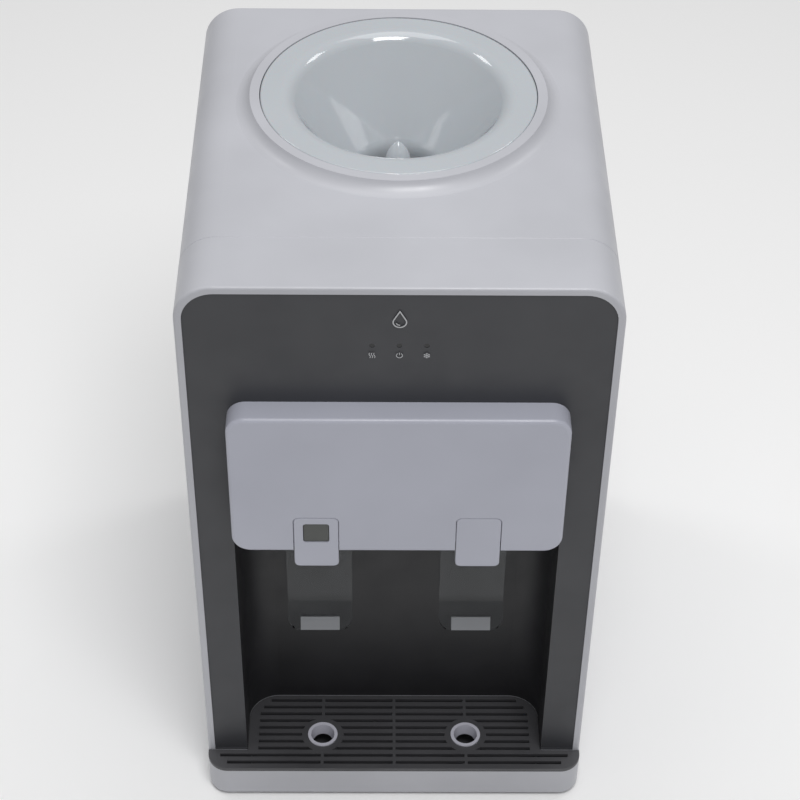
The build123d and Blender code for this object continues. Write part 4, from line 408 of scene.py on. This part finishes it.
finish(["cold_tank", "hot_tank", "band_heater"], worked_metal(
    "brushed_stainless", "b9b9bb", 0.24, 0.38, stretch=(40, 40, 1), line_mm=0.3,
))
zinc_plate = worked_metal(
    "zinc_plated_steel", "c2c4c8", 0.22, 0.34, stretch=(1, 12, 1), line_mm=0.4,
)
finish(["rear_panel_screws", "lever_pins", "hot_valve_spring", "cold_valve_spring"], zinc_plate)
finish(["evaporator_coil", "refrigerant_lines", "filter_drier"], worked_metal(
    "drawn_copper", "b87350", 0.22, 0.42, stretch=(1, 1, 20), line_mm=0.5,
))


# Compressor and condenser: a pressed steel shell and bent steel tube, dipped in black enamel.
# The dip leaves a glossy skin that ripples over about 5 mm and drifts in shade.
finish(["compressor", "condenser"], moulded(
    "black_enamel", "19191a", 0.22, 0.36, grain_mm=5.0, depth_mm=0.08, drift=0.15, Coat_Weight=0.3,
))


# Foam jacket: expanded polystyrene, steam moulded round the cold tank.
# Its white beads are about four millimetres across, with a dimple between each.
BEAD_MM = 4.0
BEAD_DEPTH = 0.0006
foam, foam_tree, foam_shader, foam_place = new_finish("expanded_polystyrene")
beads = add_node(foam_tree, "ShaderNodeTexVoronoi", {
    "Vector": foam_place, "Scale": 1000 / BEAD_MM,
})
bead_shade = add_node(foam_tree, "ShaderNodeValToRGB", {"Fac": beads.outputs["Distance"]})
bead_shade.color_ramp.elements[0].color = srgb("f3f3f0")
bead_shade.color_ramp.elements[1].color = srgb("dcdcd6")
bead_relief = add_node(foam_tree, "ShaderNodeBump", {
    "Height": beads.outputs["Distance"], "Distance": BEAD_DEPTH, "Strength": 0.7,
}, invert=True)
foam_tree.links.new(bead_shade.outputs["Color"], foam_shader.inputs["Base Color"])
foam_tree.links.new(bead_relief.outputs["Normal"], foam_shader.inputs["Normal"])
foam_shader.inputs["Roughness"].default_value = 0.85
finish(["cold_tank_insulation"], foam)


# Indicator board: glass-epoxy laminate under green solder mask, with lighter copper tracks.
# It stands behind the panel and carries the three lamps that shine through the lenses.
TRACKS_PER_METRE = 160.0
board, board_tree, board_shader, board_place = new_finish("solder_mask_board")
tracks = add_node(board_tree, "ShaderNodeTexBrick", {
    "Vector": board_place, "Scale": TRACKS_PER_METRE, "Mortar Size": 0.03,
    "Color1": srgb("0d3d22"), "Color2": srgb("0f4627"), "Mortar": srgb("2f6d3d"),
})
board_tree.links.new(tracks.outputs["Color"], board_shader.inputs["Base Color"])
board_shader.inputs["Roughness"].default_value = 0.3
finish(["indicator_board"], board)


# Front print: three symbols under the lenses and a plain drop above, pad printed in light ink.
# Each is a film of ink a tenth of a millimetre thick on the charcoal panel.
INK = 0.0001
INK_STEP = 0.000004  # a stroke on layer n stands n of these prouder, so that crossings don't fight
FINE_LINE, SYMBOL_LINE, GLINT_LINE, DROP_LINE = 0.0004, 0.0005, 0.0007, 0.0009
LENS_WIDTH = 0.0037
SYMBOL_DROP = 0.0081  # from the lenses down to the symbols
panel_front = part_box("front_panel")[0][1]
lens_low, lens_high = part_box("indicator_lenses")
lens_middle_z = (lens_low[2] + lens_high[2]) / 2
lens_pitch = (lens_high[0] - lens_low[0] - LENS_WIDTH) / 2
symbol_z = lens_middle_z - SYMBOL_DROP
ink = moulded("pad_print_ink", "b4b5b8", 0.45, 0.60, grain_mm=0.6, depth_mm=0.01)


def stroke(made, points, width, layer=0):
    """Extrude one ribbon of ink through points on the panel, mitred at its corners."""
    path = [Vector((x, 0, z)) for x, z in points]
    runs = [(b - a).normalized() for a, b in zip(path, path[1:])]
    closed = (path[0] - path[-1]).length < width / 10
    ink_face = panel_front - INK - INK_STEP * layer
    ring, edges, first_edges = [], [], []
    for index, point in enumerate(path):
        before = runs[index - 1] if index or closed else runs[0]
        after = runs[index] if index < len(runs) else (runs[0] if closed else runs[-1])
        along = (before + after).normalized()
        reach = width / 2 / max(0.4, along.dot(after))
        side = Vector((-along.z, 0, along.x)) * reach
        corners = [
            Vector((point.x + offset.x, y, point.z + offset.z))
            for offset, y in (
                (side, panel_front), (side, ink_face), (-side, ink_face), (-side, panel_front),
            )
        ]
        if not ring:
            ring = [made.verts.new(corner) for corner in corners]
            edges = [made.edges.new((ring[i - 1], ring[i])) for i in range(4)]
            first_edges = edges
            continue
        grown = bmesh.ops.extrude_edge_only(made, edges=edges)["geom"]
        edges = [e for e in grown if isinstance(e, bmesh.types.BMEdge) and e.is_boundary]
        fresh = {v for v in grown if isinstance(v, bmesh.types.BMVert)}
        ring = [
            next(e.other_vert(old) for e in old.link_edges if e.other_vert(old) in fresh)
            for old in ring
        ]
        for vertex, corner in zip(ring, corners):
            vertex.co = corner
    bmesh.ops.holes_fill(made, edges=first_edges + edges, sides=4)


def arc(x, z, radius, start, end, steps):
    """Points along an arc on the panel, in degrees from the right."""
    turns = [math.radians(start + (end - start) * i / steps) for i in range(steps + 1)]
    return [(x + radius * math.cos(t), z + radius * math.sin(t)) for t in turns]


def show(made, name, material, body):
    """Turn a finished bmesh into a piece that rides on a body."""
    bmesh.ops.recalc_face_normals(made, faces=made.faces)
    data = bpy.data.meshes.new(name)
    made.to_mesh(data)
    made.free()
    data.materials.append(material)
    piece = bpy.data.objects.new(name, data)
    bpy.context.scene.collection.objects.link(piece)
    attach(piece, body)


# Heat symbol, under the left lens: three upright waves, a film of the same ink.
# Each wave is one full swing, drawn as ten short runs.
WAVE_PITCH, WAVE_SWING, WAVE_RISE, WAVE_RUNS = 0.0016, 0.0005, 0.00046, 10
heat_symbol = bmesh.new()
for layer, shift in enumerate((-WAVE_PITCH, 0, WAVE_PITCH)):
    wave = [
        (
            -lens_pitch + shift + WAVE_SWING * math.sin(2 * math.pi * step / WAVE_RUNS),
            symbol_z + (step - WAVE_RUNS / 2) * WAVE_RISE,
        )
        for step in range(WAVE_RUNS + 1)
    ]
    stroke(heat_symbol, wave, SYMBOL_LINE, layer)
show(heat_symbol, "heat_symbol", ink, "housing")

# Power symbol, under the middle lens: an open ring with a bar through its gap.
# The bar is a second film, laid proud of the ring.
POWER_RING, BAR_FOOT, BAR_HEAD = 0.0021, 0.0004, 0.0026
BAR_LAYER = 16
power_symbol = bmesh.new()
stroke(power_symbol, arc(0, symbol_z, POWER_RING, 125, 415, 24), SYMBOL_LINE)
stroke(power_symbol, [(0, symbol_z + BAR_FOOT), (0, symbol_z + BAR_HEAD)], SYMBOL_LINE, BAR_LAYER)
show(power_symbol, "power_symbol", ink, "housing")

# Frost symbol, under the right lens: six spokes, each with a small fork near its tip.
# Every line is its own film, one layer above the last.
SPOKE, FORK_AT, FORK_LENGTH, FORK_LEAN = 0.0024, 0.0014, 0.0009, 0.9
frost_symbol = bmesh.new()
for spoke in range(6):
    turn = spoke * math.pi / 3 + math.pi / 2
    hub = (lens_pitch, symbol_z)
    end = (lens_pitch + SPOKE * math.cos(turn), symbol_z + SPOKE * math.sin(turn))
    stroke(frost_symbol, [hub, end], FINE_LINE, 3 * spoke)
    fork = (lens_pitch + FORK_AT * math.cos(turn), symbol_z + FORK_AT * math.sin(turn))
    for prong, lean in enumerate((-FORK_LEAN, FORK_LEAN), start=1):
        tip = (
            fork[0] + FORK_LENGTH * math.cos(turn + lean),
            fork[1] + FORK_LENGTH * math.sin(turn + lean),
        )
        stroke(frost_symbol, [fork, tip], FINE_LINE, 3 * spoke + prong)
show(frost_symbol, "frost_symbol", ink, "housing")

# Drop mark, high on the panel: the outline of a water drop, and a short glint inside it.
# The same ink again, in a broader line.
DROP_RISE = 0.0230  # from the lenses up to the drop's middle
DROP_POINT, DROP_ROUND_FALL, DROP_ROUND, GLINT_ROUND = 0.0085, 0.001, 0.0046, 0.0026
GLINT_LAYER = 3
drop_mark = bmesh.new()
drop_z = lens_middle_z + DROP_RISE
drop_tip = (0, drop_z + DROP_POINT)
round_z = drop_z - DROP_ROUND_FALL
stroke(drop_mark, [drop_tip, *arc(0, round_z, DROP_ROUND, 150, 390, 26), drop_tip], DROP_LINE)
stroke(drop_mark, arc(0, round_z, GLINT_ROUND, 200, 275, 8), GLINT_LINE, GLINT_LAYER)
show(drop_mark, "drop_mark", ink, "housing")
